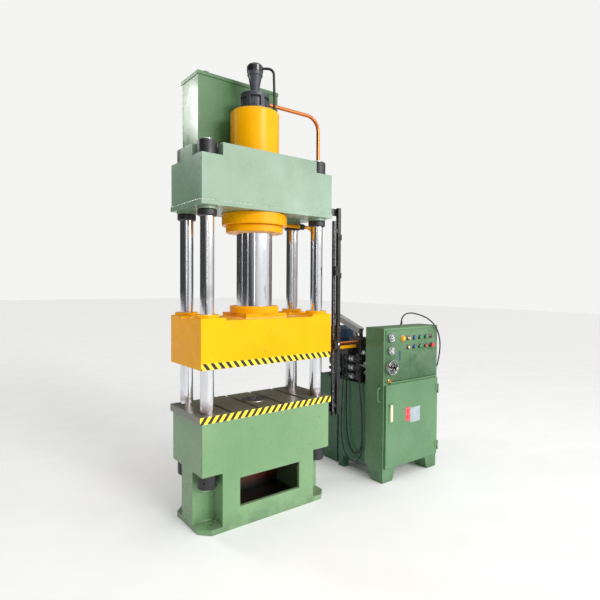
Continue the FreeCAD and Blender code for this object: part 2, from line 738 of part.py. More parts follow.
def make_power_unit():
    wall = c.sheet_thickness
    tank = hollow_box((c.cabinet_left, cabinet_back, c.oil_tank_bottom),
                      (c.cabinet_width, oil_tank_depth, c.oil_tank_top - c.oil_tank_bottom),
                      wall, "oil_tank")
    foot_depth = 60
    feet = [block((x, c.oil_tank_back - foot_depth, 0), (70, foot_depth, c.oil_tank_bottom),
                  "tank_foot") for x in (c.cabinet_left, cabinet_right - 70)]
    node("oil_tank", fuse([tank] + feet, "oil_tank"))
    node("side_reservoir", hollow_box((c.box_left, c.box_front, 0),
                                      (c.box_width, c.box_back - c.box_front, c.box_top), wall,
                                      "side_reservoir"))
    cover = block((c.cabinet_left - 6, cabinet_back, c.oil_tank_top),
                  (c.cabinet_width + 12, oil_tank_depth + 8, c.cover_plate), "tank_cover")
    box_cover = block((c.box_left - 6, c.box_front - 6, c.box_top),
                      (c.box_width + 12, c.box_back - c.box_front + 12, c.cover_plate),
                      "box_cover")
    filler = turned([(0, 0), (26, 0), (26, 30), (38, 34), (38, 74), (30, 80), (0, 80)],
                    (cabinet_right - 110, c.oil_tank_back - 110, tank_cover_top), "filler")
    link = rod((c.cabinet_left + 330, c.oil_tank_back, c.oil_tank_bottom + 120), 48,
               c.box_front - c.oil_tank_back, "y", "reservoir_link")
    node("oil_tank_covers", group([fuse([cover, filler], "cover"), box_cover, link], "covers"))

    x, y = c.motor_place_x, c.motor_place_y
    radius = c.motor_diameter / 2
    height = c.motor_top - box_cover_top
    motor = turned([(0, 0), (radius - 14, 0), (radius - 14, 14), (radius - 42, 18),
                    (radius - 42, 92), (radius - 4, 96), (radius - 4, 112), (radius - 12, 116),
                    (radius - 12, height - 110), (radius, height - 106), (radius, height - 12),
                    (radius - 12, height), (0, height)], (x, y, box_cover_top), "motor")
    ribs = []
    for k in range(20):
        rib = block((radius - 20, -2.5, 120), (18, 5, height - 232), "motor_rib")
        turn = FreeCAD.Rotation(Vector(0, 0, 1), 18.0 * k)
        shift = turn.multVec(Vector((radius - 20).number, -2.5, 0))
        place(rib, (x + shift.x, y + shift.y, box_cover_top + 114), turn)
        ribs.append(rib)
    terminal = block((x - 60, y - radius - 46, box_cover_top + 190), (120, 62, 90), "terminal_box")
    node("pump_motor", fuse([motor] + ribs + [terminal], "pump_motor"))

    slope, section, reach = 20.0, 58, 350
    duct_low = c.motor_top - 32
    duct = block((0, 0, 0), (section, reach, 50), "duct")
    turn = FreeCAD.Rotation(Vector(1, 0, 0), slope)
    place(duct, (c.box_left + 8, 30, duct_low), turn)
    hollow = block((0, 0, 0), (section - 6, reach + 20, 44), "duct_hollow")
    place(hollow, (c.box_left + 11, 22, duct_low + 1), turn)
    rise = math.tan(math.radians(slope))
    block_top = tank_cover_top + c.block_height
    front_foot = block((c.box_left + 22, 70, block_top),
                       (24, 30, duct_low + 44 * rise - block_top), "duct_foot")
    post_y = c.box_front + 32
    post = block((c.box_left + 22, post_y, box_cover_top),
                 (20, 20, duct_low + (post_y - 26) * rise - box_cover_top), "duct_post")
    node("cable_duct", fuse([cut(duct, [hollow], "duct_shell"), front_foot, post], "cable_duct"))

    manifold = block((c.block_left, c.block_front, tank_cover_top),
                     (c.block_width, c.block_depth, c.block_height), "manifold")
    relief = hexagon((c.block_left + 30, c.block_front + 30, tank_cover_top + c.block_height), 30,
                     46, name="relief_valve")
    plugs = [hexagon((c.block_left + c.block_width, c.block_front + 40 + 60 * k,
                      tank_cover_top + 60 + 90 * k), 26, 14, "x", "plug") for k in (0, 1)]
    stack = [fuse([manifold, relief] + plugs, "valve_manifold")]
    stack.append(block((c.block_left - 76, 60, tank_cover_top + 238), (76, 96, 52), "lead_box"))
    for k in range(3):
        z = tank_cover_top + 24 + 78 * k
        depth = c.block_depth - 70
        body = block((c.block_left - 46, c.block_front + 35, z), (46, depth, 52), "valve")
        coils = [rod((c.block_left - 23, c.block_front + 35 - 48, z + 26), 44, 48, "y", "coil"),
                 rod((c.block_left - 23, c.block_front + 35 + depth, z + 26), 44, 48, "y", "coil")]
        plug = block((c.block_left - 38, c.block_front + 35 - 40, z + 46), (30, 26, 24), "din_plug")
        stack.append(fuse([body] + coils + [plug], "solenoid_valve"))
    node("valve_block", group(stack, "valve_block"))


# control cabinet

column_left = c.cabinet_left + 72
button_row_top, button_row_low = size(1197), size(1118)
first_button = c.cabinet_left + 302
door_low, door_high = c.cabinet_bottom + c.door_margin, c.panel_low - 4
door_left = c.cabinet_left + c.door_margin
door_width = c.cabinet_width - 2 * c.door_margin
door_front = c.cabinet_front - c.door_gap - c.door_thickness
dish_front = door_front - c.dish_thickness
lever_middle = dish_front - c.running_gap - c.lever_thickness / 2
hinge_x = door_left + door_width + c.hinge_diameter / 2
hinge_y = door_front - c.hinge_diameter / 2
hinge_places = (door_low + 60, door_high - 120)


def make_cabinet():
    wall = c.sheet_thickness
    height = c.cabinet_top - c.cabinet_bottom
    outside = block((c.cabinet_left, c.cabinet_front, c.cabinet_bottom),
                    (c.cabinet_width, c.cabinet_depth, height), "cabinet_box")
    inside = block((c.cabinet_left + wall, c.cabinet_front + wall, c.cabinet_bottom + wall),
                   (c.cabinet_width - 2 * wall, c.cabinet_depth - 2 * wall, height - 2 * wall),
                   "cabinet_inside")
    frame_edge = 22
    mouth = block((door_left + frame_edge, c.cabinet_front - 10, door_low + frame_edge),
                  (door_width - 2 * frame_edge, 10 + wall + 2,
                   door_high - door_low - 2 * frame_edge), "cabinet_mouth")
    shell = cut(outside, [inside, mouth], "cabinet_shell")
    legs = []
    for side in (0, 1):
        x = c.cabinet_left if side == 0 else cabinet_right
        sign = 1 if side == 0 else -1
        front = [(x, 0), (x + sign * c.leg_foot, 0),
                 (x + sign * c.leg_width, c.cabinet_bottom), (x, c.cabinet_bottom)]
        body = padded(front, c.cabinet_depth, name="leg_front")
        turn = FreeCAD.Rotation(Vector(1, 0, 0), 90)
        place(body, (0, cabinet_back, 0), turn)
        side_view = [(c.cabinet_front, 0), (c.cabinet_front + c.leg_foot, 0),
                     (c.cabinet_front + c.leg_width + 8, c.cabinet_bottom),
                     (c.cabinet_front, c.cabinet_bottom)]
        other = padded(side_view, c.cabinet_width + 100, name="leg_side")
        turn = FreeCAD.Rotation(Vector(1, 1, 1), 120)
        place(other, (c.cabinet_left - 50, 0, 0), turn)
        legs.append(common(body, other, "cabinet_leg"))
    knuckles = []
    for z in hinge_places:
        low = z - c.running_gap - c.knuckle_length
        knuckles.append(rod((hinge_x, hinge_y, low), c.hinge_diameter, c.knuckle_length,
                            name="knuckle"))
        knuckles.append(block((hinge_x - 3, hinge_y, low),
                              (cabinet_right - hinge_x + 3, c.cabinet_front - hinge_y,
                               c.knuckle_length), "knuckle_bracket"))
    glands = []
    for end, axis in gland_starts():
        wall_at = {"x": cabinet_right, "y": cabinet_back, "z": c.cabinet_top}[axis]
        start = [wall_at if axis == letter else end[i] for i, letter in enumerate("xyz")]
        length = size(end["xyz".index(axis)]) - wall_at
        glands.append(rod(start, 22, length, axis, "gland"))
    node("cabinet_shell", fuse([shell] + legs + knuckles + glands, "cabinet_shell"))

    door = block((door_left, door_front, door_low),
                 (door_width, c.door_thickness, door_high - door_low), "door")
    pan = block((door_left + 2, door_front + 2, door_low + 2),
                (door_width - 4, c.door_thickness, door_high - door_low - 4), "door_pan")
    dish_top = c.lever_pivot + 22
    dish = block((column_left - c.dish_width / 2, dish_front, dish_top - c.dish_height),
                 (c.dish_width, c.dish_thickness + 2, c.dish_height), "handle_dish")
    ear = (c.dish_width - c.lever_width) / 2 - 2
    reach = dish_front - lever_middle + 5
    ears = [block((x, lever_middle - 5, c.lever_pivot - 8), (ear, reach, 16), "handle_ear")
            for x in (column_left - c.dish_width / 2, column_left + c.dish_width / 2 - ear)]
    pin = rod((column_left - c.dish_width / 2, lever_middle, c.lever_pivot), c.pin_diameter,
              c.dish_width, "x", "handle_pin")
    barrels = [rod((hinge_x, hinge_y, z), c.hinge_diameter, c.hinge_length, name="door_hinge")
               for z in hinge_places]
    leaves = [block((hinge_x - 35, door_front - 3, z), (32, 4, c.hinge_length), "hinge_leaf")
              for z in hinge_places]
    node("cabinet_door", fuse([cut(door, [pan], "door_shell"), dish, pin] + ears + barrels
                              + leaves, "cabinet_door"))
    lever = block((column_left - c.lever_width / 2, lever_middle - c.lever_thickness / 2,
                   c.lever_pivot - c.lever_length),
                  (c.lever_width, c.lever_thickness, c.lever_length), "lever")
    lever = round_edges(lever, 5, edge_at("y", lever_middle - c.lever_thickness / 2),
                        "lever_round")
    hub = rod((column_left - c.lever_width / 2, lever_middle, c.lever_pivot), c.lever_thickness,
              c.lever_width, "x", "lever_hub")
    bore = rod((column_left - c.dish_width, lever_middle, c.lever_pivot),
               c.pin_diameter + 2 * c.pin_clearance, 2 * c.dish_width, "x", "lever_bore")
    node("door_handle", cut(fuse([lever, hub], "lever_solid"), [bore], "door_handle"))

    bars = []
    for side in (0, 1):
        sign = -1 if side == 0 else 1
        face = c.cabinet_left if side == 0 else cabinet_right
        x = face.number
        y = (c.cabinet_front + 30).number
        bars.append(piped([(x, y, 680), (x + sign * 34, y, 680), (x + sign * 34, y, 796),
                           (x, y, 796)], 14, [22, 22], "side_handle"))
    node("cabinet_handles", group(bars, "cabinet_handles"))


away = FreeCAD.Rotation(Vector(1, 0, 0), 90)


def dial(x, z, diameter, depth, name, knob=()):
    """A round gauge case whose open front looks out of the cabinet, with a pivot pin."""
    radius = diameter / 2
    pin_end = knob or [(2, depth - 2), (0, depth - 2)]
    return turned([(0, 0), (radius - 5, 0), (radius - 5, depth - 8), (radius, depth - 8),
                   (radius, depth), (radius - 5, depth), (radius - 5, depth - 6),
                   (2, depth - 6)] + pin_end, (x, c.cabinet_front, z), name, away)


def needle(x, z, radius, depth, angle, name):
    hub = rod((x, c.cabinet_front - depth + 1.6, z), 10, 2, "y", name + "_hub")
    bore = rod((x, c.cabinet_front - depth - 2, z), 4 + 2 * c.running_gap, 10, "y",
               name + "_bore")
    blade = block((0, 0, 0), (radius * 1.25, 1, 3), name + "_blade")
    turn = FreeCAD.Rotation(Vector(0, 1, 0), angle)
    shift = turn.multVec(Vector(-(radius * 0.3).number, 0, -1.5))
    place(blade, (x + shift.x, c.cabinet_front - depth + 2.2, z + shift.z), turn)
    node(name, cut(fuse([hub, blade], name + "_solid"), [bore], name))


def make_panel():
    small, large = c.gauge_small, c.gauge_large
    setting_knob = [(2, 47), (7, 47), (7, 66), (13, 68), (13, 84), (10, 87), (0, 87)]
    case = [dial(column_left, size(1214), small, 30, "gauge_upper"),
            dial(column_left, size(1106), small, 30, "gauge_lower"),
            dial(column_left, size(968), large, 46, "gauge_main", setting_knob)]
    node("gauge_cases", group(case, "gauge_cases"))
    needle(column_left, size(1214), small / 2 - 12, 30, 135.0, "needle_upper")
    needle(column_left, size(1106), small / 2 - 12, 30, 135.0, "needle_lower")
    needle(column_left, size(968), large / 2 - 20, 46, 135.0, "needle_main")
    front = c.cabinet_front
    bezels, plungers = [], []
    hole = c.button_size / 2 + c.running_gap
    outer = c.bezel_size / 2
    spots = [(k, row) for row in (0, 1) for k in range(5)]
    for k, row in spots:
        if (k, row) == (4, 0):
            continue
        x, z = first_button + c.button_pitch * k, (button_row_top, button_row_low)[row]
        bezels.append(turned([(hole, 0), (outer, 0), (outer, 7), (outer - 2, 9), (hole, 9)],
                             (x, front, z), "bezel", away))
    node("panel_bezels", group(bezels, "panel_bezels"))
    cap = c.button_size / 2
    start = c.button_travel + 1
    colours = ["blue_upper", "green_upper", "green_upper_right", "white_lower", "blue_lower",
               "green_lower", "red_lower"]
    places = [(1, 0), (2, 0), (3, 0), (0, 1), (1, 1), (2, 1), (3, 1)]
    for name, (k, row) in zip(colours, places):
        x, z = first_button + c.button_pitch * k, (button_row_top, button_row_low)[row]
        node("button_" + name, turned([(0, 0), (cap, 0), (cap, 11), (cap - 2, 13), (0, 13)],
                                      (x, front - start, z), "button", away))
    x = first_button
    knob = turned([(0, 0), (cap, 0), (cap, 10), (cap - 2, 12), (0, 12)],
                  (x, front - 1, button_row_top), "selector_base", away)
    grip = block((x - 4, front - 26, button_row_top - 10), (8, 14, 20), "selector_grip")
    node("selector_knob", fuse([knob, grip], "selector_knob"))
    x = first_button + 4 * c.button_pitch
    stop = c.stop_size / 2
    node("emergency_stop", turned([(0, 0), (cap, 0), (cap, 12), (stop - 6, 15), (stop, 20),
                                   (stop, 26), (stop - 6, 31), (0, 33)],
                                  (x, front - start, button_row_low), "stop_button", away))
    red = turned([(0, 0), (outer, 0), (outer, 6), (outer - 4, 8), (outer - 4, 16),
                  (outer - 8, 20), (0, 21)], (x, front, button_row_top), "red_lamp", away)
    yellow = turned([(0, 0), (25, 0), (25, 6), (21, 8), (20, 16), (14, 24), (6, 28), (0, 28)],
                    (c.cabinet_left + 229, front, button_row_top), "yellow_lamp", away)
    node("signal_lamps", group([red, yellow], "signal_lamps"))
    pull = turned([(0, 0), (23, 0), (23, 5), (18, 8), (11, 16), (0, 18)],
                  (column_left, front, c.panel_low + 25), "panel_lock", away)
    node("panel_lock", pull)


# cables

cable_routes = {
    "power_cable": (12, [(1020, 92, 1036), (1021, 92, 960), (1024, 93, 870), (1027, 95, 740),
                         (1027, 97, 590), (1028, 94, 440), (1028, 84, 330), (1028, 56, 238),
                         (1028, 10, 180), (1028, -46, 178), (1028, -88, 222), (1027, -104, 300),
                         (1027, -108, 400), (1027, -100, 550), (1028, -84, 670),
                         (1029, -67, 760), (1036, -55, 828), (1072, -49, 868),
                         (1120, -52, 884), (1148, -68, 888), (1156, -84, 888),
                         (1156, -101, 888)]),
    "loop_cable": (10, [(1020, 130, 1036), (1021, 131, 955), (1026, 135, 850), (1029, 147, 720),
                        (1030, 158, 580), (1030, 166, 450), (1030, 164, 340), (1026, 146, 248),
                        (1014, 106, 172), (1007, 52, 122), (1006, -8, 108), (1006, -66, 124),
                        (1007, -108, 172), (1008, -126, 256), (1008, -128, 370),
                        (1008, -120, 500), (1008, -108, 640), (1009, -92, 760),
                        (1016, -76, 844), (1040, -64, 898), (1082, -56, 926),
                        (1126, -54, 937), (1164, -62, 938), (1178, -80, 938),
                        (1178, -101, 938)]),
    "signal_wire": (8, [(1059, -30, 956), (1059, -46, 956), (1061, -61, 953),
                        (1064, -75, 947), (1065, -87, 944), (1065, -101, 944)]),
    "top_cable": (12, [(1430, -180, 1306), (1430, -180, 1338), (1442, -184, 1370),
                       (1472, -194, 1394), (1514, -210, 1402), (1562, -233, 1394),
                       (1612, -266, 1376), (1656, -308, 1344), (1694, -340, 1294),
                       (1730, -352, 1228), (1764, -346, 1158), (1790, -330, 1090),
                       (1806, -312, 1024), (1812, -298, 968), (1807, -291, 926),
                       (1797, -289, 898.5), (1771.7, -289, 898)]),
}


def gland_starts():
    """Where a cable leaves a wall of the cabinet: its end point and the wall's axis."""
    ends = [(cable_routes[name][1][-1], axis) for name, axis in
            (("power_cable", "y"), ("loop_cable", "y"), ("signal_wire", "y"), ("top_cable", "x"))]
    return ends + [(cable_routes["top_cable"][1][0], "z")]


def cable(name):
    """A flexible lead as straight runs joined by arcs as large as their runs allow."""
    diameter, points = cable_routes[name]
    radii = []
    for i in range(1, len(points) - 1):
        a, b, d = (Vector(*points[j]) for j in (i - 1, i, i + 1))
        back, ahead = a - b, d - b
        turn = math.pi - back.getAngle(ahead)
        shorter = min(back.Length, ahead.Length)
        radii.append(0.45 * shorter / math.tan(turn / 2))
    print(name, "tightest arc", round(min(radii)), "mm, length",
          round(sum((Vector(*points[i + 1]) - Vector(*points[i])).Length
                    for i in range(len(points) - 1))), "mm")
    node(name, piped(points, diameter, radii, name))


# build, check and write

def build():
    for make in (make_base, make_table, make_columns, make_nuts, make_crown, make_cylinder,
                 make_valve, make_screws, make_head_tank, make_crosshead, make_ram, make_pipes,
                 make_rails, make_power_unit, make_cabinet, make_panel):
        make()
        doc.recompute()
    for name in cable_routes:
        cable(name)
    doc.recompute()


def check_and_write():
    for item in doc.Objects:
        bad = [state for state in item.State if state in ("Invalid", "Error")]
        if bad:
            raise ValueError("%s is %s" % (item.Name, bad))
    for name, item in nodes.items():
        if item.Shape.isNull() or not item.Shape.isValid() or not item.Shape.Solids:
            raise ValueError("%s has no valid solid" % name)
    os.makedirs("parts", exist_ok=True)
    for name, item in nodes.items():
        item.Shape.exportStep("parts/%s.step" % name)
    print(len(nodes), "nodes,", sum(len(n.Shape.Solids) for n in nodes.values()), "solids")


build()
check_and_write()
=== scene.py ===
import math

import bmesh
import bpy
import numpy as np
from mathutils import Matrix, Vector


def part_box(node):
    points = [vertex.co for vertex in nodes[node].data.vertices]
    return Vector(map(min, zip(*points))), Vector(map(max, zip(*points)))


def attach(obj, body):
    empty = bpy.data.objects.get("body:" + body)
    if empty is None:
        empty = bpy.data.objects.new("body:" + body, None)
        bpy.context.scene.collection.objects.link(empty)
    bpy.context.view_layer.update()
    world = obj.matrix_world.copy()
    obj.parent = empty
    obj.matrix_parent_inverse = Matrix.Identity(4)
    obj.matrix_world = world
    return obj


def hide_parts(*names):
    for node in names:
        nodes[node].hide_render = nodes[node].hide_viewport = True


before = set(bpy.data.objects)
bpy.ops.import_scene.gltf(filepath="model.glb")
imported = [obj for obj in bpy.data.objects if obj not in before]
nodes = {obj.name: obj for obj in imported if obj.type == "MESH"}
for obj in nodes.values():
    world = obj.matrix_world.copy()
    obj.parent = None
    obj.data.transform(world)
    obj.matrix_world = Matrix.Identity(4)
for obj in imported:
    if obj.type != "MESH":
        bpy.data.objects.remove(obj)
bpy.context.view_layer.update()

# Finish and small parts of a four-column hydraulic press. Metres, Z up, floor at zero.

print("frame loaded:", len(nodes), "nodes")
toFront, toTop, toRight = (0, -1, 0), (0, 0, 1), (1, 0, 0)
signPairs = [(-1, -1), (-1, 1), (1, -1), (1, 1)]


def placed(name, data):
    # an object made from its data and put in the scene
    thing = bpy.data.objects.new(name, data)
    bpy.context.scene.collection.objects.link(thing)
    return thing


# camera, floor and light

view = {"place": (-1.9055, -3.0417, 1.6448), "yaw": 37.479, "pitch": -1.780, "roll": 0.376,
        "lens": 28.99, "sensor": 36.0}


def aimCamera():
    # turned by yaw about the vertical, then by pitch, then by roll about its own line of sight
    data = bpy.data.cameras.new("pressCamera")
    data.lens, data.sensor_width = view["lens"], view["sensor"]
    camera = placed("pressCamera", data)
    yaw, pitch, roll = (math.radians(view[k]) for k in ("yaw", "pitch", "roll"))
    turn = (Matrix.Rotation(-yaw, 4, "Z") @ Matrix.Rotation(math.pi / 2 + pitch, 4, "X")
            @ Matrix.Rotation(roll, 4, "Z"))
    camera.matrix_world = Matrix.Translation(view["place"]) @ turn
    bpy.context.scene.camera = camera


lights = {
    "sun": {"kind": "SUN", "place": (1.2, -8.0, 2.7), "aim": (0.0, 0.0, 0.0), "power": 1.7,
            "spread": 22.0},
    "crownGlare": {"kind": "AREA", "place": (3.5, -4.9, 3.2), "aim": (0.0, 0.0, 2.4),
                   "power": 62, "size": (2.6, 1.3)},
    "tankGlare": {"kind": "AREA", "place": (-1.25, 1.48, 3.42), "aim": (-0.36, 0.3, 2.9),
                  "power": 24, "size": (0.5, 0.5)},
    "leftStrip": {"kind": "AREA", "place": (-2.6, -4.4, 2.6), "aim": (0.0, 0.0, 2.2),
                  "power": 6, "size": (0.16, 2.6)},
}
sky = {"seen": "#f4f4f3", "far": 0.06, "near": 1.15, "toward": (0.30, -0.55, 0.78),
       "from": 0.0, "to": 0.85, "power": 1.0}
floorLook = {"side": 60.0, "middle": (0.8, 20.4), "tint": "#fbfbfa"}


def linearTint(code):
    # an sRGB hex code as linear red, green, blue
    parts = np.array([int(code[i:i + 2], 16) for i in (1, 3, 5)]) / 255
    parts = np.where(parts <= 0.04045, parts / 12.92, ((parts + 0.055) / 1.055) ** 2.4)
    return (*map(float, parts), 1.0)


def addLights():
    # each lamp stands at its place and looks at its aim; the camera doesn't see it
    for name, lamp in lights.items():
        data = bpy.data.lights.new(name, lamp["kind"])
        data.energy = lamp["power"]
        if lamp["kind"] == "SUN":
            data.angle = math.radians(lamp["spread"])
        else:
            data.shape = "RECTANGLE"
            data.size, data.size_y = lamp["size"]
        thing = placed(name, data)
        thing.visible_camera = False
        place = Vector(lamp["place"])
        heading = (Vector(lamp["aim"]) - place).to_track_quat("-Z", "Y")
        thing.matrix_world = Matrix.Translation(place) @ heading.to_matrix().to_4x4()


def addSky():
    # plain where the camera looks; what it lights is pale in front and above, dark behind
    world = bpy.data.worlds.new("studio")
    world.use_nodes = True
    tree = world.node_tree
    tree.nodes.clear()
    out = tree.nodes.new("ShaderNodeOutputWorld")
    pick = tree.nodes.new("ShaderNodeMixShader")
    path = tree.nodes.new("ShaderNodeLightPath")
    seen, lit = tree.nodes.new("ShaderNodeBackground"), tree.nodes.new("ShaderNodeBackground")
    seen.inputs["Color"].default_value = linearTint(sky["seen"])
    lit.inputs["Strength"].default_value = sky["power"]
    coords, agree = tree.nodes.new("ShaderNodeTexCoord"), tree.nodes.new("ShaderNodeVectorMath")
    agree.operation = "DOT_PRODUCT"
    agree.inputs[1].default_value = Vector(sky["toward"]).normalized()
    rise = tree.nodes.new("ShaderNodeMapRange")
    rise.interpolation_type = "SMOOTHSTEP"
    for label, key in (("From Min", "from"), ("From Max", "to"), ("To Min", "far"),
                       ("To Max", "near")):
        rise.inputs[label].default_value = sky[key]
    for start, end in ((coords.outputs["Generated"], agree.inputs[0]),
                       (agree.outputs["Value"], rise.inputs["Value"]),
                       (rise.outputs["Result"], lit.inputs["Color"]),
                       (path.outputs["Is Camera Ray"], pick.inputs[0]),
                       (lit.outputs[0], pick.inputs[1]), (seen.outputs[0], pick.inputs[2]),
                       (pick.outputs[0], out.inputs[0])):
        tree.links.new(start, end)
    bpy.context.scene.world = world
    bpy.context.scene.view_settings.view_transform = "Standard"


aimCamera()
addLights()
addSky()
print("camera, lights and sky set")


# material building

class Recipe:
    # one procedural material on object coordinates, built up node by node

    def __init__(self, name, metallic=0.0, coat=0.0, coatRoughness=0.1, **fixed):
        self.material = bpy.data.materials.new(name)
        self.material.use_nodes = True
        self.tree = self.material.node_tree
        self.shader = self.tree.nodes["Principled BSDF"]
        self.shader.inputs["Metallic"].default_value = metallic
        self.shader.inputs["Coat Weight"].default_value = coat
        self.shader.inputs["Coat Roughness"].default_value = coatRoughness
        for label, value in fixed.items():
            self.shader.inputs[label.replace("_", " ")].default_value = value
        self.place = self.add("ShaderNodeTexCoord").outputs["Object"]

    def add(self, kind, inputs=None, **settings):
        # a node with its settings, and its inputs set or linked
        node = self.tree.nodes.new(kind)
        for label, value in settings.items():
            setattr(node, label, value)
        for label, value in (inputs or {}).items():
            self.feed(node.inputs[label], value)
        return node

    def feed(self, socket, value):
        if isinstance(value, bpy.types.NodeSocket):
            self.tree.links.new(value, socket)
        else:
            socket.default_value = value

    def sums(self, operation, first, second=0.0):
        return self.add("ShaderNodeMath", {0: first, 1: second}, operation=operation).outputs[0]

    def times(self, first, second):
        return self.sums("MULTIPLY", first, second)

    def plus(self, first, second):
        return self.sums("ADD", first, second)

    def axis(self, letter):
        return self.add("ShaderNodeSeparateXYZ", {0: self.place}).outputs[letter.upper()]

    def ramp(self, value, low, high, start=0.0, end=1.0):
        # a smooth step from start to end as the value goes from low to high
        return self.add("ShaderNodeMapRange", {"Value": value, "From Min": low, "From Max": high,
                                               "To Min": start, "To Max": end},
                        interpolation_type="SMOOTHSTEP").outputs["Result"]

    def noise(self, scale, low=0.35, high=0.65, stretch=(1, 1, 1), detail=4.0, shift=0.0):
        # cloudy noise, stretched and shifted, then cut to a mask between two levels
        spot = self.add("ShaderNodeMapping", {"Vector": self.place, "Scale": stretch,
                                              "Location": (shift, shift * 0.7, shift * 1.3)})
        grain = self.add("ShaderNodeTexNoise", {"Vector": spot.outputs[0], "Scale": scale,
                                                "Detail": detail})
        return self.ramp(grain.outputs["Fac"], low, high)

    def mix(self, share, first, second):
        # from the first colour to the second as the share goes from 0 to 1
        first, second = (linearTint(v) if isinstance(v, str) else v for v in (first, second))
        return self.add("ShaderNodeMix", {"Factor": share, "A": first, "B": second},
                        data_type="RGBA").outputs["Result"]

    def stain(self, tint, where, amount, colour):
        # the tint, turned by an amount to a colour where the mask is high
        return self.mix(self.times(where, amount), tint, colour)

    def edges(self, width, low=0.03, high=0.35):
        # how far a rounded normal leaves the flat one: high along outer and inner edges
        self.soft = self.add("ShaderNodeBevel", {"Radius": width}, samples=4).outputs["Normal"]
        flat = self.add("ShaderNodeNewGeometry").outputs["Normal"]
        agree = self.add("ShaderNodeVectorMath", {0: self.soft, 1: flat}, operation="DOT_PRODUCT")
        return self.ramp(self.sums("SUBTRACT", 1.0, agree.outputs["Value"]), low, high)

    def upward(self):
        # high on faces that look up, where dust lies
        normal = self.add("ShaderNodeNewGeometry").outputs["True Normal"]
        return self.ramp(self.add("ShaderNodeSeparateXYZ", {0: normal}).outputs["Z"], 0.6, 0.95)

    def finish(self, tint, rough, *bumps):
        # tint and roughness to the shader, and each height map bumped onto the last normal
        self.feed(self.shader.inputs["Base Color"], tint)
        self.feed(self.shader.inputs["Roughness"], rough)
        normal = getattr(self, "soft", None)
        for height, distance in bumps:
            bump = self.add("ShaderNodeBump", {"Height": height, "Distance": distance,
                                               "Strength": 1.0})
            if normal is not None:
                self.feed(bump.inputs["Normal"], normal)
            normal = bump.outputs["Normal"]
        if normal is not None:
            self.feed(self.shader.inputs["Normal"], normal)
        return self.material


paints = {
    "pressGreen": {"base": "#6e9467", "pale": "#799d71", "deep": "#648a5d", "chip": "#3c4a3b",
                   "edge": "#98b48e", "dust": "#8d8a72", "patch": 1.5, "wear": 0.45, "gloss": 0.5},
    "crownGreen": {"base": "#7a957b", "pale": "#8ea691", "deep": "#6c876d", "chip": "#4d5c4c",
                   "edge": "#b9c1b5", "dust": "#85896f", "patch": 1.3, "wear": 0.6, "gloss": 0.32},
    "cabinetGreen": {"base": "#577e58", "pale": "#628863", "deep": "#4e744f", "chip": "#35452f",
                     "edge": "#799976", "dust": "#8f8066", "patch": 1.4, "wear": 0.35,
                     "gloss": 0.32},
    "tankGreen": {"base": "#4b7046", "pale": "#597e55", "deep": "#3e6139", "chip": "#2e3f2c",
                  "edge": "#6f8c67", "dust": "#7f8468", "patch": 1.6, "wear": 0.4, "gloss": 0.32},
    "darkGreen": {"base": "#346144", "pale": "#3b694b", "deep": "#2c573f", "chip": "#16251c",
                  "edge": "#5c8368", "dust": "#5f6050", "patch": 2.0, "wear": 0.3, "gloss": 0.32},
    "brightYellow": {"base": "#f9aa00", "pale": "#ffb508", "deep": "#f3a100", "chip": "#4a3a18",
                     "edge": "#ffcb70", "dust": "#a08a62", "patch": 1.4, "wear": 0.35,
                     "gloss": 0.12},
    "cylinderYellow": {"base": "#eda200", "pale": "#f6b004", "deep": "#e09300", "chip": "#4a3a18",
                       "edge": "#ffd25a", "dust": "#a08a52", "patch": 2.0, "wear": 0.3,
                       "gloss": 0.12},
    "motorBlue": {"base": "#1a2c40", "pale": "#22374c", "deep": "#122230", "chip": "#0c1218",
                  "edge": "#485e73", "dust": "#57564d", "patch": 6.0, "wear": 0.4, "gloss": 0.32},
    "ductGrey": {"base": "#8b8c90", "pale": "#9a9b9e", "deep": "#77787d", "chip": "#3b3b3d",
                 "edge": "#c4c4c6", "dust": "#7a766b", "patch": 4.0, "wear": 0.5, "gloss": 0.32},
}


chamber = {"wallX": 0.3586, "wallY": 0.2068, "floor": 0.038, "dark": 0.19}  # inside of the base; painted shade darkens its primer from the dark height down to the floor height
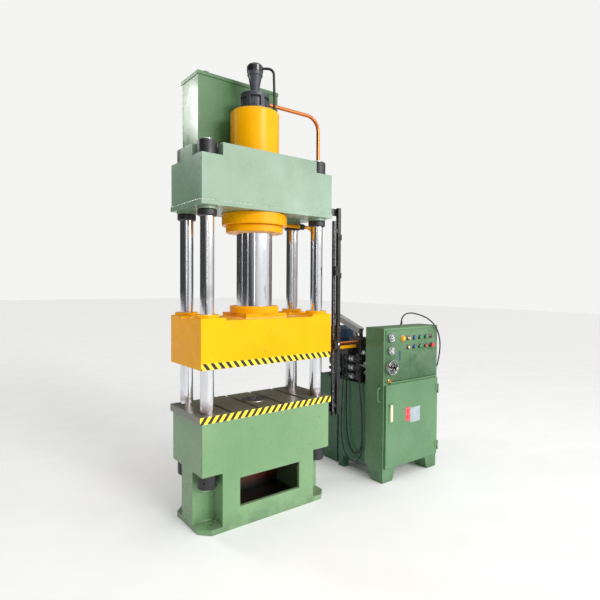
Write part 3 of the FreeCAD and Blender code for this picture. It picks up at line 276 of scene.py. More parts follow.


def paintedSteel(name):
    # sprayed machine paint: cloudy tint, runs, worn edges, chips, dust on top, orange-peel bump
    look = paints[name]
    gloss = look["gloss"]
    r = Recipe(name, coat=gloss * 0.5, coatRoughness=0.12, Specular_IOR_Level=gloss)
    tint = r.mix(r.noise(look["patch"], 0.40, 0.66), look["base"], look["pale"])
    cloud = r.noise(look["patch"] * 2.3, 0.46, 0.72, (1, 1, 0.6), shift=3.1)
    tint = r.stain(tint, cloud, 0.45, look["deep"])
    runs = r.noise(34, 0.60, 0.78, (1, 1, 0.06), shift=5.7)
    tint = r.stain(tint, runs, 0.22, look["deep"])
    soot = r.noise(16, 0.58, 0.80, detail=8.0, shift=9.2)
    tint = r.stain(tint, soot, 0.18, look["dust"])
    rim = r.edges(0.0035)
    broken = r.noise(46, 0.42, 0.62, detail=6.0, shift=1.9)
    tint = r.stain(tint, r.times(rim, broken), look["wear"], look["edge"])
    chips = r.times(rim, r.noise(75, 0.64, 0.68, detail=3.0, shift=7.7))
    specks = r.noise(52, 0.735, 0.75, detail=2.0, shift=12.0)
    marks = r.sums("MAXIMUM", chips, specks)
    tint = r.stain(tint, marks, 0.8, look["chip"])
    film = r.times(r.upward(), r.noise(5, 0.25, 0.8, shift=4.4))
    tint = r.stain(tint, film, 0.6, look["dust"])
    grime = r.times(r.ramp(r.axis("z"), 0.14, 0.0), r.noise(11, 0.3, 0.7, shift=2.2))
    tint = r.stain(tint, grime, 0.45, look["chip"])
    rough = r.plus(r.noise(7, 0.3, 0.7, shift=6.0), r.times(film, 2.0))
    rough = r.ramp(rough, 0.0, 3.0, 0.26, 0.62)
    if name == "pressGreen":  # red primer inside the base, with painted shade darkening it to near black towards the floor
        width = r.sums("LESS_THAN", r.sums("ABSOLUTE", r.axis("x")), chamber["wallX"])
        depth = r.sums("LESS_THAN", r.sums("ABSOLUTE", r.axis("y")), chamber["wallY"])
        inside = r.times(width, depth)
        primerAndShade = r.mix(r.noise(6, 0.4, 0.6, shift=8.0), "#8f2f22", "#6b4a36")
        primerAndShade = r.mix(r.ramp(r.axis("z"), chamber["dark"], chamber["floor"]), primerAndShade, "#15120f")
        tint = r.mix(inside, tint, primerAndShade)
        rough = r.plus(rough, r.times(inside, 0.3))
    peel = r.noise(420, 0.2, 0.8, detail=2.0)
    swell = r.noise(5, 0.2, 0.8, detail=1.0, shift=3.0)
    return r.finish(tint, rough, (swell, 0.0012), (peel, 0.00009), (marks, -0.0002))


metals = {
    "chromeBar": {"base": "#e4e5e9", "mark": "#55565c", "rough": (0.06, 0.17),
                  "streak": (90, (1, 1, 0.02)), "grease": (0.79, 0.92)},
    "chromeRam": {"base": "#e6e7eb", "mark": "#4b4c52", "rough": (0.06, 0.20),
                  "streak": (70, (1, 1, 0.025)), "flecks": ((1.45, 1.62), (2.0, 1.85))},
    "brightSteel": {"base": "#c9cbcf", "mark": "#6c6d70", "rough": (0.16, 0.34),
                    "streak": (160, (1, 1, 0.2))},
    "planedSteel": {"base": "#7d8173", "mark": "#45483c", "rough": (0.30, 0.50),
                    "streak": (120, (0.04, 1, 1)), "metallic": 0.45},
    "bronze": {"base": "#b58a4c", "mark": "#5c4020", "rough": (0.22, 0.40),
               "streak": (120, (1, 1, 0.3))},
    "copper": {"base": "#c9743f", "mark": "#5e3420", "rough": (0.20, 0.42),
               "streak": (60, (1, 1, 0.3))},
}


def barMetal(name):
    # bare metal: drawn-out scratches, stains, cloudy polish and a painted highlight along every
    # edge; grease and flecks lie in bands
    look = metals[name]
    scale, stretch = look["streak"]
    r = Recipe(name, metallic=look.get("metallic", 1.0))
    rim = r.edges(0.002)
    lines = r.noise(scale, 0.56, 0.74, stretch, detail=6.0)
    stains = r.noise(9, 0.56, 0.80, detail=7.0, shift=4.0)
    tint = r.mix(r.times(lines, 0.38), look["base"], look["mark"])
    tint = r.stain(tint, stains, 0.30, look["mark"])
    # painted highlight: every edge made paler
    tint = r.stain(tint, rim, 0.3, "#f5f5f5")
    rough = r.ramp(r.plus(stains, r.noise(4, 0.3, 0.7, shift=8.0)), 0.0, 2.0, *look["rough"])
    if "flecks" in look:
        column = r.noise(30, 0.62, 0.70, (1, 1, 0.22), detail=5.0, shift=2.6)
        band = r.times(*(r.ramp(r.axis("z"), *step) for step in look["flecks"]))
        spots = r.times(column, band)
        tint = r.stain(tint, spots, 0.7, "#2c2c30")
        rough = r.plus(rough, r.times(spots, 0.3))
    if "grease" in look:
        low, high = look["grease"]
        smear = r.times(r.ramp(r.axis("z"), high, low), r.noise(24, 0.40, 0.60, detail=6.0))
        tint = r.stain(tint, smear, 0.8, "#6f4238")
        rough = r.plus(rough, r.times(smear, 0.3))
    return r.finish(tint, rough, (lines, -0.00004), (stains, 0.00003))


def darkMetal(name, base, pale, rough):
    # blackened steel and dark castings: sandy grain, rubbed edges and a little rust
    r = Recipe(name, coat=0.1, coatRoughness=0.25)
    rim = r.edges(0.0025)
    cloud = r.noise(14, 0.35, 0.70, detail=6.0)
    tint = r.mix(r.times(cloud, 0.6), base, pale)
    rubbed = r.times(rim, r.noise(40, 0.35, 0.60, shift=3.0))
    tint = r.stain(tint, rubbed, 0.55, "#8b8d92")
    rust = r.noise(22, 0.64, 0.78, detail=8.0, shift=6.0)
    tint = r.stain(tint, rust, 0.35, "#6a4028")
    sand = r.noise(140, 0.3, 0.7, detail=3.0, shift=1.0)
    roughness = r.ramp(r.plus(cloud, sand), 0.0, 2.0, *rough)
    return r.finish(tint, roughness, (sand, 0.00015), (rust, 0.0001))


def mouldedPlastic(name, base, pale, rough=(0.16, 0.30)):
    # moulded plastic: faint cloud, a painted highlight along every edge, finger dirt and small
    # scuffs
    r = Recipe(name, coat=0.4, coatRoughness=0.08)
    rim = r.edges(0.0012)
    tint = r.mix(r.noise(60, 0.35, 0.70), base, pale)
    # painted highlight: every edge made paler
    tint = r.stain(tint, rim, 0.25, "#ffffff")
    dirt = r.noise(150, 0.62, 0.78, detail=6.0, shift=3.0)
    tint = r.stain(tint, dirt, 0.35, "#1c1a16")
    scuffs = r.noise(220, 0.60, 0.70, (1, 1, 0.15), shift=5.0)
    roughness = r.ramp(r.plus(dirt, scuffs), 0.0, 2.0, *rough)
    return r.finish(tint, roughness, (scuffs, -0.00002))


def rubberSkin(name, base, pale):
    # cable jacket and hose rubber: satin, dusty, finely grained
    r = Recipe(name, Specular_IOR_Level=0.4)
    tint = r.mix(r.noise(30, 0.35, 0.70), base, pale)
    dust = r.noise(12, 0.48, 0.75, detail=6.0, shift=4.0)
    tint = r.stain(tint, dust, 0.4, "#6b665c")
    grain = r.noise(900, 0.3, 0.7, detail=2.0)
    return r.finish(tint, r.ramp(dust, 0.0, 1.0, 0.38, 0.66), (grain, 0.00005))


castings = {
    "blackSteel": ("#17181a", "#26272b", (0.34, 0.6)),
    "railBlack": ("#0f1012", "#1b1c20", (0.2, 0.42)),
    "valveIron": ("#34383f", "#4c5058", (0.34, 0.56)),
    "valveBlack": ("#1a1a1a", "#33332f", (0.24, 0.5)),
}
jackets = {"hoseRubber": ("#101113", "#1e1f22"), "wireGrey": ("#8b8f94", "#a7abb0")}
plastics = {
    "handleCream": ("#d8cfa6", "#e6dfbf", (0.24, 0.4)),
    "capBlack": ("#111113", "#1d1d20", (0.22, 0.4)),
    "buttonBlue": ("#1d5fa8", "#2f7cc4"),
    "buttonGreen": ("#1f8a55", "#37a56c"),
    "buttonWhite": ("#e6e8a8", "#f3f4cf"),
    "buttonCream": ("#ead79a", "#f4e8bf"),
    "buttonRed": ("#c8231f", "#e0433a"),
    "lampRed": ("#6e0f10", "#8f1b18", (0.08, 0.2)),
    "lampYellow": ("#e3a71b", "#f3bf35", (0.08, 0.2)),
}
made = {name: paintedSteel(name) for name in paints} | {name: barMetal(name) for name in metals}
for maker, rows in ((darkMetal, castings), (rubberSkin, jackets), (mouldedPlastic, plastics)):
    made |= {name: maker(name, *values) for name, values in rows.items()}
print("materials made:", len(made))

nodeFinish = {
    "pressGreen": ["base_frame"],
    "planedSteel": ["table_plate"],
    "brightSteel": ["table_plug", "gauge_cases"],
    "chromeBar": ["columns"],
    "chromeRam": ["ram"],
    "blackSteel": ["column_nuts", "column_collar_nuts", "cap_screws", "ram_bolts", "pipe_unions"],
    "crownGreen": ["crown"],
    "cylinderYellow": ["cylinder_barrel", "cylinder_flange", "gland_ring", "ram_flange",
                       "guide_bushes", "trip_cam", "return_pipe"],
    "brightYellow": ["crosshead"],
    "valveIron": ["prefill_valve"],
    "capBlack": ["prefill_cap", "panel_bezels"],
    "hoseRubber": ["pilot_hose", "power_cable", "loop_cable", "top_cable"],
    "wireGrey": ["signal_wire"],
    "tankGreen": ["head_tank", "head_tank_lid", "head_tank_brackets"],
    "cabinetGreen": ["cabinet_shell", "cabinet_door", "cabinet_handles"],
    "darkGreen": ["oil_tank", "side_reservoir", "oil_tank_covers"],
    "copper": ["copper_pipe"],
    "railBlack": ["limit_rails", "limit_switches", "limit_lever_lower", "limit_lever_upper",
                  "needle_upper", "needle_lower"],
    "motorBlue": ["pump_motor"],
    "ductGrey": ["cable_duct"],
    "valveBlack": ["valve_block"],
    "bronze": ["panel_lock"],
    "handleCream": ["door_handle"],
    "buttonCream": ["selector_knob"],
    "buttonBlue": ["button_blue_upper", "button_blue_lower"],
    "buttonGreen": ["button_green_upper", "button_green_upper_right", "button_green_lower"],
    "buttonWhite": ["button_white_lower"],
    "buttonRed": ["button_red_lower", "emergency_stop", "needle_main"],
    "lampRed": ["signal_lamps"],
}


def dress(thing, finish):
    # one finish over the whole of a thing
    thing.data.materials.clear()
    thing.data.materials.append(made[finish])


for finish, names in nodeFinish.items():
    for name in names:
        dress(nodes[name], finish)
print("finishes given to", sum(len(n) for n in nodeFinish.values()), "nodes")
assert set(nodes) == {n for names in nodeFinish.values() for n in names}


# surfaces

def meshPiece(name, points, faces, finish, body, smooth=True):
    # one mesh from an array of points and lists of corner numbers, riding on a body
    data = bpy.data.meshes.new(name)
    data.from_pydata(points.tolist(), [], faces)
    shell = bmesh.new()
    shell.from_mesh(data)
    bmesh.ops.recalc_face_normals(shell, faces=shell.faces)
    shell.to_mesh(data)
    shell.free()
    data.polygons.foreach_set("use_smooth", np.full(len(data.polygons), smooth))
    data.update()
    thing = placed(name, data)
    dress(thing, finish)
    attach(thing, body)
    return thing


def gridFaces(rows, columns, loopRows=False, loopColumns=True, offset=0):
    # quads between neighbouring rows and columns of a grid, wrapping round where it closes
    i = np.arange(rows if loopRows else rows - 1)[:, None]
    j = np.arange(columns if loopColumns else columns - 1)[None, :]
    a, b = i * columns + j, i * columns + (j + 1) % columns
    c, d = ((i + 1) % rows) * columns + (j + 1) % columns, ((i + 1) % rows) * columns + j
    return (np.stack([a, b, c, d], axis=-1).reshape(-1, 4) + offset).tolist()


def ringStack(rings, capLow=True, capHigh=True):
    # rings of points, first to last, joined by quads, with a flat face over each open end
    count, around = rings.shape[:2]
    faces = gridFaces(count, around)
    if capLow:
        faces.append(list(range(around))[::-1])
    if capHigh:
        faces.append([(count - 1) * around + j for j in range(around)])
    return rings.reshape(-1, 3), faces


def frameOf(direction):
    # two unit vectors square to a direction
    direction = np.array(direction, float) / np.linalg.norm(direction)
    helper = np.array([0, 0, 1.0]) if abs(direction[2]) < 0.9 else np.array([0, 1.0, 0])
    side = np.cross(helper, direction)
    side /= np.linalg.norm(side)
    return side, np.cross(direction, side), direction


def turned(profile, centre, direction, around):
    # (radius, height) pairs about a direction: radius times (side cos t + up sin t), plus height
    side, up, along = frameOf(direction)
    angle = np.linspace(0, 2 * np.pi, around, endpoint=False)
    outward = np.cos(angle)[:, None] * side + np.sin(angle)[:, None] * up
    radius, height = np.array(profile, float).T[:, :, None, None]
    return np.array(centre, float) + radius * outward[None] + height * along


def lathe(profile, centre, direction=toTop, around=32):
    # a profile turned about a direction, with a flat face over an end that isn't on the axis
    return ringStack(turned(profile, centre, direction, around), profile[0][0] > 0,
                     profile[-1][0] > 0)


def hexHead(across, height, centre, direction):
    # a bolt head on a washer: hexagon rings, the last one drawn in as its chamfer
    levels = [(0.5, 0.0), (0.577, 0.04), (0.577, 0.86), (0.50, 1.0)]
    sides = [(reach * across, level * height) for reach, level in levels]
    washer = lathe([(across * 0.5, -0.0002), (across * 0.95, -0.0002),
                    (across * 0.95, height * 0.16), (across * 0.5, height * 0.18)],
                   centre, direction, 20)
    return joined([ringStack(turned(sides, centre, direction, 6)), washer])


def joined(parts):
    # several point and face sets as one
    points, faces, offset = [], [], 0
    for somePoints, someFaces in parts:
        points.append(somePoints)
        faces += [[v + offset for v in face] for face in someFaces]
        offset += len(somePoints)
    return np.concatenate(points), faces


def sweep(path, section, closed=False, up=toTop):
    # a flat section of (across, out) pairs carried along a path with a steady up direction
    path, section = np.array(path, float), np.array(section, float)
    if closed:
        ahead = np.roll(path, -1, axis=0) - np.roll(path, 1, axis=0)
    else:
        ahead = np.gradient(path, axis=0)
    ahead /= np.linalg.norm(ahead, axis=1)[:, None]
    side = np.cross(np.array(up, float), ahead)
    side /= np.linalg.norm(side, axis=1)[:, None]
    above = np.cross(ahead, side)
    skin = (path[:, None] + section[None, :, 0, None] * side[:, None]
            + section[None, :, 1, None] * above[:, None])
    if closed:
        return skin.reshape(-1, 3), gridFaces(*skin.shape[:2], loopRows=True)
    return ringStack(skin)


def circle(radius, count=10):
    # (cos t, sin t) times the radius
    angle = np.linspace(0, 2 * np.pi, count, endpoint=False)
    return np.stack([np.cos(angle), np.sin(angle)], axis=1) * radius


def along(points, step, closed=False):
    # points spaced evenly by about one step along straight runs
    points = np.array(points + ([points[0]] if closed else []), float)
    runs = np.linalg.norm(np.diff(points, axis=0), axis=1)
    total = np.concatenate([[0], np.cumsum(runs)])
    count = max(3, int(round(total[-1] / step)))
    at = np.linspace(0, total[-1], count, endpoint=not closed)
    return np.stack([np.interp(at, total, points[:, k]) for k in range(3)], axis=1)


# flexible leads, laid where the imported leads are

leads = {
    "powerLead": {"node": "power_cable", "thick": 0.012, "finish": "hoseRubber", "long": 1.78,
        "points": [
            (1.020, 0.092, 1.036), (1.021, 0.092, 0.960), (1.024, 0.093, 0.870),
            (1.027, 0.095, 0.740), (1.027, 0.097, 0.590), (1.028, 0.094, 0.440),
            (1.028, 0.084, 0.330), (1.028, 0.056, 0.238), (1.028, 0.010, 0.180),
            (1.028, -0.046, 0.178), (1.028, -0.088, 0.222), (1.027, -0.104, 0.300),
            (1.027, -0.108, 0.400), (1.027, -0.100, 0.550), (1.028, -0.084, 0.670),
            (1.029, -0.067, 0.760), (1.036, -0.055, 0.828), (1.072, -0.049, 0.868),
            (1.120, -0.052, 0.884), (1.148, -0.068, 0.888), (1.156, -0.084, 0.888),
            (1.156, -0.101, 0.888)]},
    "loopLead": {"node": "loop_cable", "thick": 0.010, "finish": "hoseRubber", "long": 2.05,
        "points": [
            (1.020, 0.130, 1.036), (1.021, 0.131, 0.955), (1.026, 0.135, 0.850),
            (1.029, 0.147, 0.720), (1.030, 0.158, 0.580), (1.030, 0.166, 0.450),
            (1.030, 0.164, 0.340), (1.026, 0.146, 0.248), (1.014, 0.106, 0.172),
            (1.007, 0.052, 0.122), (1.006, -0.008, 0.108), (1.006, -0.066, 0.124),
            (1.007, -0.108, 0.172), (1.008, -0.126, 0.256), (1.008, -0.128, 0.370),
            (1.008, -0.120, 0.500), (1.008, -0.108, 0.640), (1.009, -0.092, 0.760),
            (1.016, -0.076, 0.844), (1.040, -0.064, 0.898), (1.082, -0.056, 0.926),
            (1.126, -0.054, 0.937), (1.164, -0.062, 0.938), (1.178, -0.080, 0.938),
            (1.178, -0.101, 0.938)]},
    "signalLead": {"node": "signal_wire", "thick": 0.008, "finish": "wireGrey", "long": 0.073,
        "points": [
            (1.059, -0.030, 0.956), (1.059, -0.046, 0.956), (1.061, -0.061, 0.953),
            (1.064, -0.075, 0.947), (1.065, -0.087, 0.944), (1.065, -0.101, 0.944)]},
    "topLead": {"node": "top_cable", "thick": 0.012, "finish": "hoseRubber", "long": 0.86,
        "points": [
            (1.430, -0.180, 1.306), (1.430, -0.180, 1.338), (1.442, -0.184, 1.370),
            (1.472, -0.194, 1.394), (1.514, -0.210, 1.402), (1.562, -0.233, 1.394),
            (1.612, -0.266, 1.376), (1.656, -0.308, 1.344), (1.694, -0.340, 1.294),
            (1.730, -0.352, 1.228), (1.764, -0.346, 1.158), (1.790, -0.330, 1.090),
            (1.806, -0.312, 1.024), (1.812, -0.298, 0.968), (1.807, -0.291, 0.926),
            (1.797, -0.289, 0.8985), (1.7717, -0.289, 0.898)]},
}


def layLead(name, lead):
    # one smooth NURBS line through the route, given its thickness by a round bevel
    curve = bpy.data.curves.new(name, "CURVE")
    curve.dimensions = "3D"
    spline = curve.splines.new("NURBS")
    spline.points.add(len(lead["points"]) - 1)
    for point, spot in zip(spline.points, lead["points"]):
        point.co = (*spot, 1)
    spline.order_u = 3
    spline.use_endpoint_u = True
    spline.resolution_u = 8
    curve.bevel_depth = lead["thick"] / 2
    curve.bevel_resolution = 4
    curve.use_fill_caps = True
    thing = placed(name, curve)
    curve.materials.append(made[lead["finish"]])
    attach(thing, "frame")
    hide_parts(lead["node"])


for name, lead in leads.items():
    layLead(name, lead)
print("leads laid:", len(leads))


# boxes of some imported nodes, and finishes that only the small parts use

def corners(name):
    # the two far corners of a node's box
    low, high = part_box(name)
    return np.array(low), np.array(high)


crownLow, crownHigh = corners("crown")
tableLow, tableHigh = corners("table_plate")
headLow, headHigh = corners("crosshead")
tankLow, tankHigh = corners("head_tank")

hazard = {"pitch": 0.055, "black": "#27130b", "yellow": "#fbe52e", "lift": 0.0006,
          "headLow": 1.0945, "headHigh": 1.1370, "lean": 0.75}


def hazardSkin(name, lean):
    # slanting bars: the height, times the lean, is added to the distance along, over the pitch
    r = Recipe(name, coat=0.3, coatRoughness=0.2)
    slide = r.sums("MULTIPLY_ADD", r.axis("z"), lean)
    r.feed(slide.node.inputs[2], r.axis("x"))
    turnNumber = r.sums("FRACT", r.sums("DIVIDE", slide, hazard["pitch"]))
    wave = r.sums("ABSOLUTE", r.sums("SUBTRACT", turnNumber, 0.5))
    bars = r.ramp(wave, 0.235, 0.265)
    tint = r.mix(bars, hazard["yellow"], hazard["black"])
    scuff = r.noise(38, 0.60, 0.74, detail=7.0)
    tint = r.stain(tint, scuff, 0.5, "#6d5a2a")
    lost = r.noise(24, 0.72, 0.74, detail=3.0, shift=3.0)
    tint = r.mix(lost, tint, "#57704f")
    rough = r.ramp(scuff, 0.0, 1.0, 0.3, 0.55)
    return r.finish(tint, rough, (scuff, -0.0001), (r.noise(30, 0.3, 0.7, shift=6.0), 0.0004))


def plainPrint(name, base, pale, rough=0.45):
    # printed or anodised sheet: faint grain and handling dirt
    r = Recipe(name)
    tint = r.mix(r.noise(90, 0.35, 0.65, (0.1, 1, 1)), base, pale)
    dirt = r.noise(26, 0.56, 0.80, detail=7.0, shift=5.0)
    tint = r.stain(tint, dirt, 0.3, "#4c463a")
    return r.finish(tint, r.ramp(dirt, 0.0, 1.0, rough, rough + 0.25), (r.noise(300), 0.00003))


def clearGlass(name):
    # clear and colourless, with faint smears
    r = Recipe(name, Transmission_Weight=1.0, IOR=1.45)
    smear = r.noise(40, 0.5, 0.8, detail=5.0)
    return r.finish(r.mix(smear, "#ffffff", "#f1f5f2"), r.ramp(smear, 0, 1, 0.01, 0.06),
                    (r.noise(20), 0.00002))


def weldSkin(name, paint):
    # a painted weld bead: the paint's tint, paler on its ripples, with spatter and bare spots
    look = paints[paint]
    r = Recipe(name, coat=0.3, coatRoughness=0.15)
    tint = r.mix(r.noise(120, 0.35, 0.60), look["base"], look["edge"])
    bare = r.noise(70, 0.60, 0.68, detail=5.0, shift=3.0)
    tint = r.stain(tint, bare, 0.7, look["chip"])
    return r.finish(tint, r.ramp(bare, 0, 1, 0.25, 0.6), (r.noise(260, 0.2, 0.8), 0.0004))


made["tapeHead"] = hazardSkin("tapeHead", hazard["lean"])
made["tapeTable"] = hazardSkin("tapeTable", -hazard["lean"])
made["labelGrey"] = plainPrint("labelGrey", "#9aa8ad", "#aebbc0")
made["labelRed"] = plainPrint("labelRed", "#c22834", "#d23a45")
made["labelWhite"] = plainPrint("labelWhite", "#e3e4df", "#f4f4f1")
made["stripBlue"] = plainPrint("stripBlue", "#26405f", "#30507a")
made["dialWhite"] = plainPrint("dialWhite", "#ecebe6", "#f8f7f3", 0.5)
made["printBlack"] = plainPrint("printBlack", "#131313", "#202020", 0.5)
made["gaugeGlass"] = clearGlass("gaugeGlass")
for paint, name in (("crownGreen", "crownWeld"), ("pressGreen", "baseWeld"),
                    ("tankGreen", "tankWeld"), ("brightYellow", "headWeld"),
                    ("darkGreen", "reservoirWeld")):
    made[name] = weldSkin(name, paint)

slotOf = {
    "frame_green": ("crownWeld", "baseWeld"), "tank_green": ("tankWeld", "cabinetGreen"),
    "yellow_paint": ("headWeld", "tapeHead", "tapeTable"), "dark_green": ("reservoirWeld",),
    "black_steel": ("blackSteel", "capBlack", "printBlack"),
    "bright_steel": ("brightSteel", "labelGrey"), "button_red": ("labelRed",),
    "button_white": ("labelWhite", "dialWhite"), "button_blue": ("stripBlue",),
    "gauge_glass": ("gaugeGlass",), "motor_blue": ("motorBlue",), "hose_rubber": ("hoseRubber",),
    "lamp_lens": ("lampYellow",)}
slotOf = {finish: slot for slot, finishes in slotOf.items() for finish in finishes}


def addPiece(name, shape, finish, body="frame", smooth=True):
    # a shape made a piece, with its finish and its body
    thing = meshPiece(name, *shape, finish, body, smooth)
    return thing


def slab(low, high, edge=0.0015, out="y"):
    # a plate between two corners with round corners, its face towards -out drawn in by an edge
    low, high = np.array(low, float), np.array(high, float)
    axis = "xyz".index(out)
    flat = [k for k in range(3) if k != axis]
    angle = (np.array([1, 1.5, 0, 0.5])[:, None] * np.pi + np.linspace(0, np.pi / 2, 5)).ravel()
    way = np.stack([np.cos(angle), np.sin(angle)], 1)
    corner = np.repeat([(-1, -1), (1, -1), (1, 1), (-1, 1)], 5, axis=0)
    half, middle = (high - low)[flat] / 2, (high + low)[flat] / 2
    radius, thick = min(edge * 2.5, half.min() * 0.9), abs(high[axis] - low[axis])
    steps = [(0, 0), (0, 1 - edge / thick), (0.3, 0.93), (1, 1)]
    if thick < edge * 1.2:
        steps = [(0, 0), (0, 0.5), (0.4, 0.9), (1, 1)]
    skin = np.zeros((len(steps), len(angle), 3))
    for ring, (inset, level) in zip(skin, steps):
        ring[:, flat] = (corner * (half - radius) + way * (radius - inset * edge * 0.999) + middle)
        ring[:, axis] = high[axis] + (low[axis] - high[axis]) * level
    return ringStack(skin if axis == 1 else skin[:, ::-1])


def bead(points, radius, closed=False, up=toTop, seed=1):
    # a weld: a round section along a path, swelling and shrinking with each ripple
    path = along([tuple(p) for p in points], 0.0035, closed)
    chance = np.random.default_rng(seed)
    swell = 1 + 0.16 * np.sin(np.arange(len(path)) * 2.1) + chance.normal(0, 0.07, len(path))
    wander = chance.normal(0, radius * 0.10, (len(path), 3))
    points, faces = sweep(path + wander * 0.6, circle(radius, 8), closed, up)
    centre = np.repeat(path, 8, axis=0)
    return centre + (points - centre) * np.repeat(swell, 8)[:, None], faces


def outlinePoints(low, high, z):
    # the four corners of a rectangle at one height
    return [(low[0], low[1], z), (high[0], low[1], z), (high[0], high[1], z), (low[0], high[1], z)]


# hazard tapes

def tapeStrip(low, high, bottom, top, front):
    # a thin band: its section rings run along the face and its skin lifts by slow waves
    across = np.linspace(low, high, 240)
    section = np.array([(0, bottom), (1, bottom), (1, top), (0, top)])
    lift = hazard["lift"] * (1 + 0.25 * np.sin(across * 31) * np.sin(across * 7.3))
    rings = np.zeros((240, 4, 3))
    rings[:, :, 0] = across[:, None]
    rings[:, :, 1] = front + 0.0001 - section[None, :, 0] * (lift[:, None] + 0.0001)
    rings[:, :, 2] = section[None, :, 1]
    return ringStack(rings)


addPiece("crossheadTape", tapeStrip(headLow[0] + 0.002, headHigh[0] - 0.002, hazard["headLow"],
                                    hazard["headHigh"], headLow[1]),
         "tapeHead", "crosshead", False)
addPiece("tableTape", tapeStrip(tableLow[0] + 0.001, tableHigh[0] - 0.001, tableLow[2] + 0.0008,
                                tableHigh[2] - 0.0012, tableLow[1]), "tapeTable", smooth=False)
print("hazard tapes made")


# weld beads

welds = {"crown": 0.0048, "crownNotch": 0.0022, "base": 0.0036, "baseNotch": 0.003,
         "head": 0.0032, "ramPlate": 0.0060, "tank": 0.0028, "tankCorner": 0.002,
         "bracket": 0.0032, "reservoir": 0.0026}
crownSeam = {"inset": (0.005, 0.005, 0), "lip": 0.020, "slope": 0.030, "notch": 0.150,
             "notchLow": 0.083}
baseSeam = {"corner": (0.533, 0.2325), "notch": 0.148, "foot": 0.036, "top": 0.392, "toe": 0.07}
headSeam = {"pad": 0.180, "sunk": 0.018, "plate": 0.171, "edge": 0.004}
tankSeam = {"left": 0.070, "right": 0.130, "wide": 0.060, "run": (0.030, 0.449)}
reservoirFloor = {"side_reservoir": 0.004, "oil_tank": 0.104}


def post(x, y, low, high, radius, seed):
    # an upright bead between two heights
    return bead([(x, y, low), (x, y, high)], radius, up=toRight, seed=seed)


def crownWelds():
    # round the top of the lip, and up the inner corner of each notch
    low, high = crownLow + crownSeam["inset"], crownHigh - crownSeam["inset"]
    lipTop = crownLow[2] + crownSeam["lip"] + crownSeam["slope"]
    outline = outlinePoints(low - 0.001, high + 0.001, lipTop + 0.001)
    return [bead(outline, welds["crown"], True)] + [
        post(x, y, crownHigh[2] - crownSeam["notchLow"], crownHigh[2] - 0.002,
             welds["crownNotch"], 4)
        for x in (low[0] - 0.0005, high[0] + 0.0005)
        for y in (low[1] + crownSeam["notch"], high[1] - crownSeam["notch"])]


def baseWelds():
    # round under the table, and along the foot and up the corner of each notch
    high = np.array(baseSeam["corner"])
    notch, foot = baseSeam["notch"], baseSeam["foot"]
    parts = [bead(outlinePoints(-high - 0.001, high + 0.001, tableLow[2] - 0.002),
                  welds["base"], True)]
    for sx, sy in signPairs:
        inX, inY = sx * (high[0] - notch), sy * (high[1] - notch)
        parts.append(bead([(sx * (high[0] - baseSeam["toe"]), inY, foot), (inX, inY, foot),
                           (inX, sy * (high[1] - 0.004), foot)], welds["base"], seed=7))
        parts.append(post(inX, inY, foot, baseSeam["top"], welds["baseNotch"], 9))
    return parts


def headWelds():
    # round the inside of each corner pad, and round the ram's plate
    parts, pad, edge = [], headSeam["pad"], headSeam["edge"]
    top, side = headHigh[2] - headSeam["sunk"], headSeam["plate"]
    for sx, sy in signPairs:
        farX, farY = sx * headHigh[0], sy * headHigh[1]
        inX, inY = farX - sx * (pad + 0.001), farY - sy * (pad + 0.001)
        parts.append(bead([(farX - sx * edge, inY, top), (inX, inY, top),
                           (inX, farY - sy * edge, top)], welds["head"], seed=3))
    return parts + [bead(outlinePoints((-side, -side), (side, side), top), welds["ramPlate"],
                         True, seed=5)]


def tankWelds():
    # up the corners, round the bottom, and round the foot of each bracket
    parts = [post(x, y, tankLow[2] + 0.003, tankHigh[2] - 0.002, welds["tankCorner"], 6)
             for x in (tankLow[0], tankHigh[0]) for y in (tankLow[1], tankHigh[1])]
    parts.append(bead(outlinePoints(tankLow, tankHigh, tankLow[2] + 0.001), welds["tank"], True))
    near, far = tankSeam["run"]
    return parts + [bead(outlinePoints((x, near), (x + tankSeam["wide"], far), crownHigh[2]),
                         welds["bracket"], True)
                    for x in (tankLow[0] + tankSeam["left"], tankHigh[0] - tankSeam["right"])]


def reservoirWelds():
    # up the corners of both tanks; the oil tank's front ones are behind the cabinet
    parts = []
    for name, floorZ in reservoirFloor.items():
        low, high = corners(name)
        depths = (low[1], high[1]) if name == "side_reservoir" else (high[1],)
        parts += [post(x, y, floorZ, high[2] - 0.001, welds["reservoir"], 8)
                  for x in (low[0], high[0]) for y in depths]
    return parts


for name, makeWelds, finish, body in (
        ("crownWelds", crownWelds, "crownWeld", "frame"),
        ("baseWelds", baseWelds, "baseWeld", "frame"),
        ("crossheadWelds", headWelds, "headWeld", "crosshead"),
        ("overheadTankWelds", tankWelds, "tankWeld", "frame"),
        ("reservoirWelds", reservoirWelds, "reservoirWeld", "frame")):
    addPiece(name, joined(makeWelds()), finish, body)
print("weld beads made")


# bolts

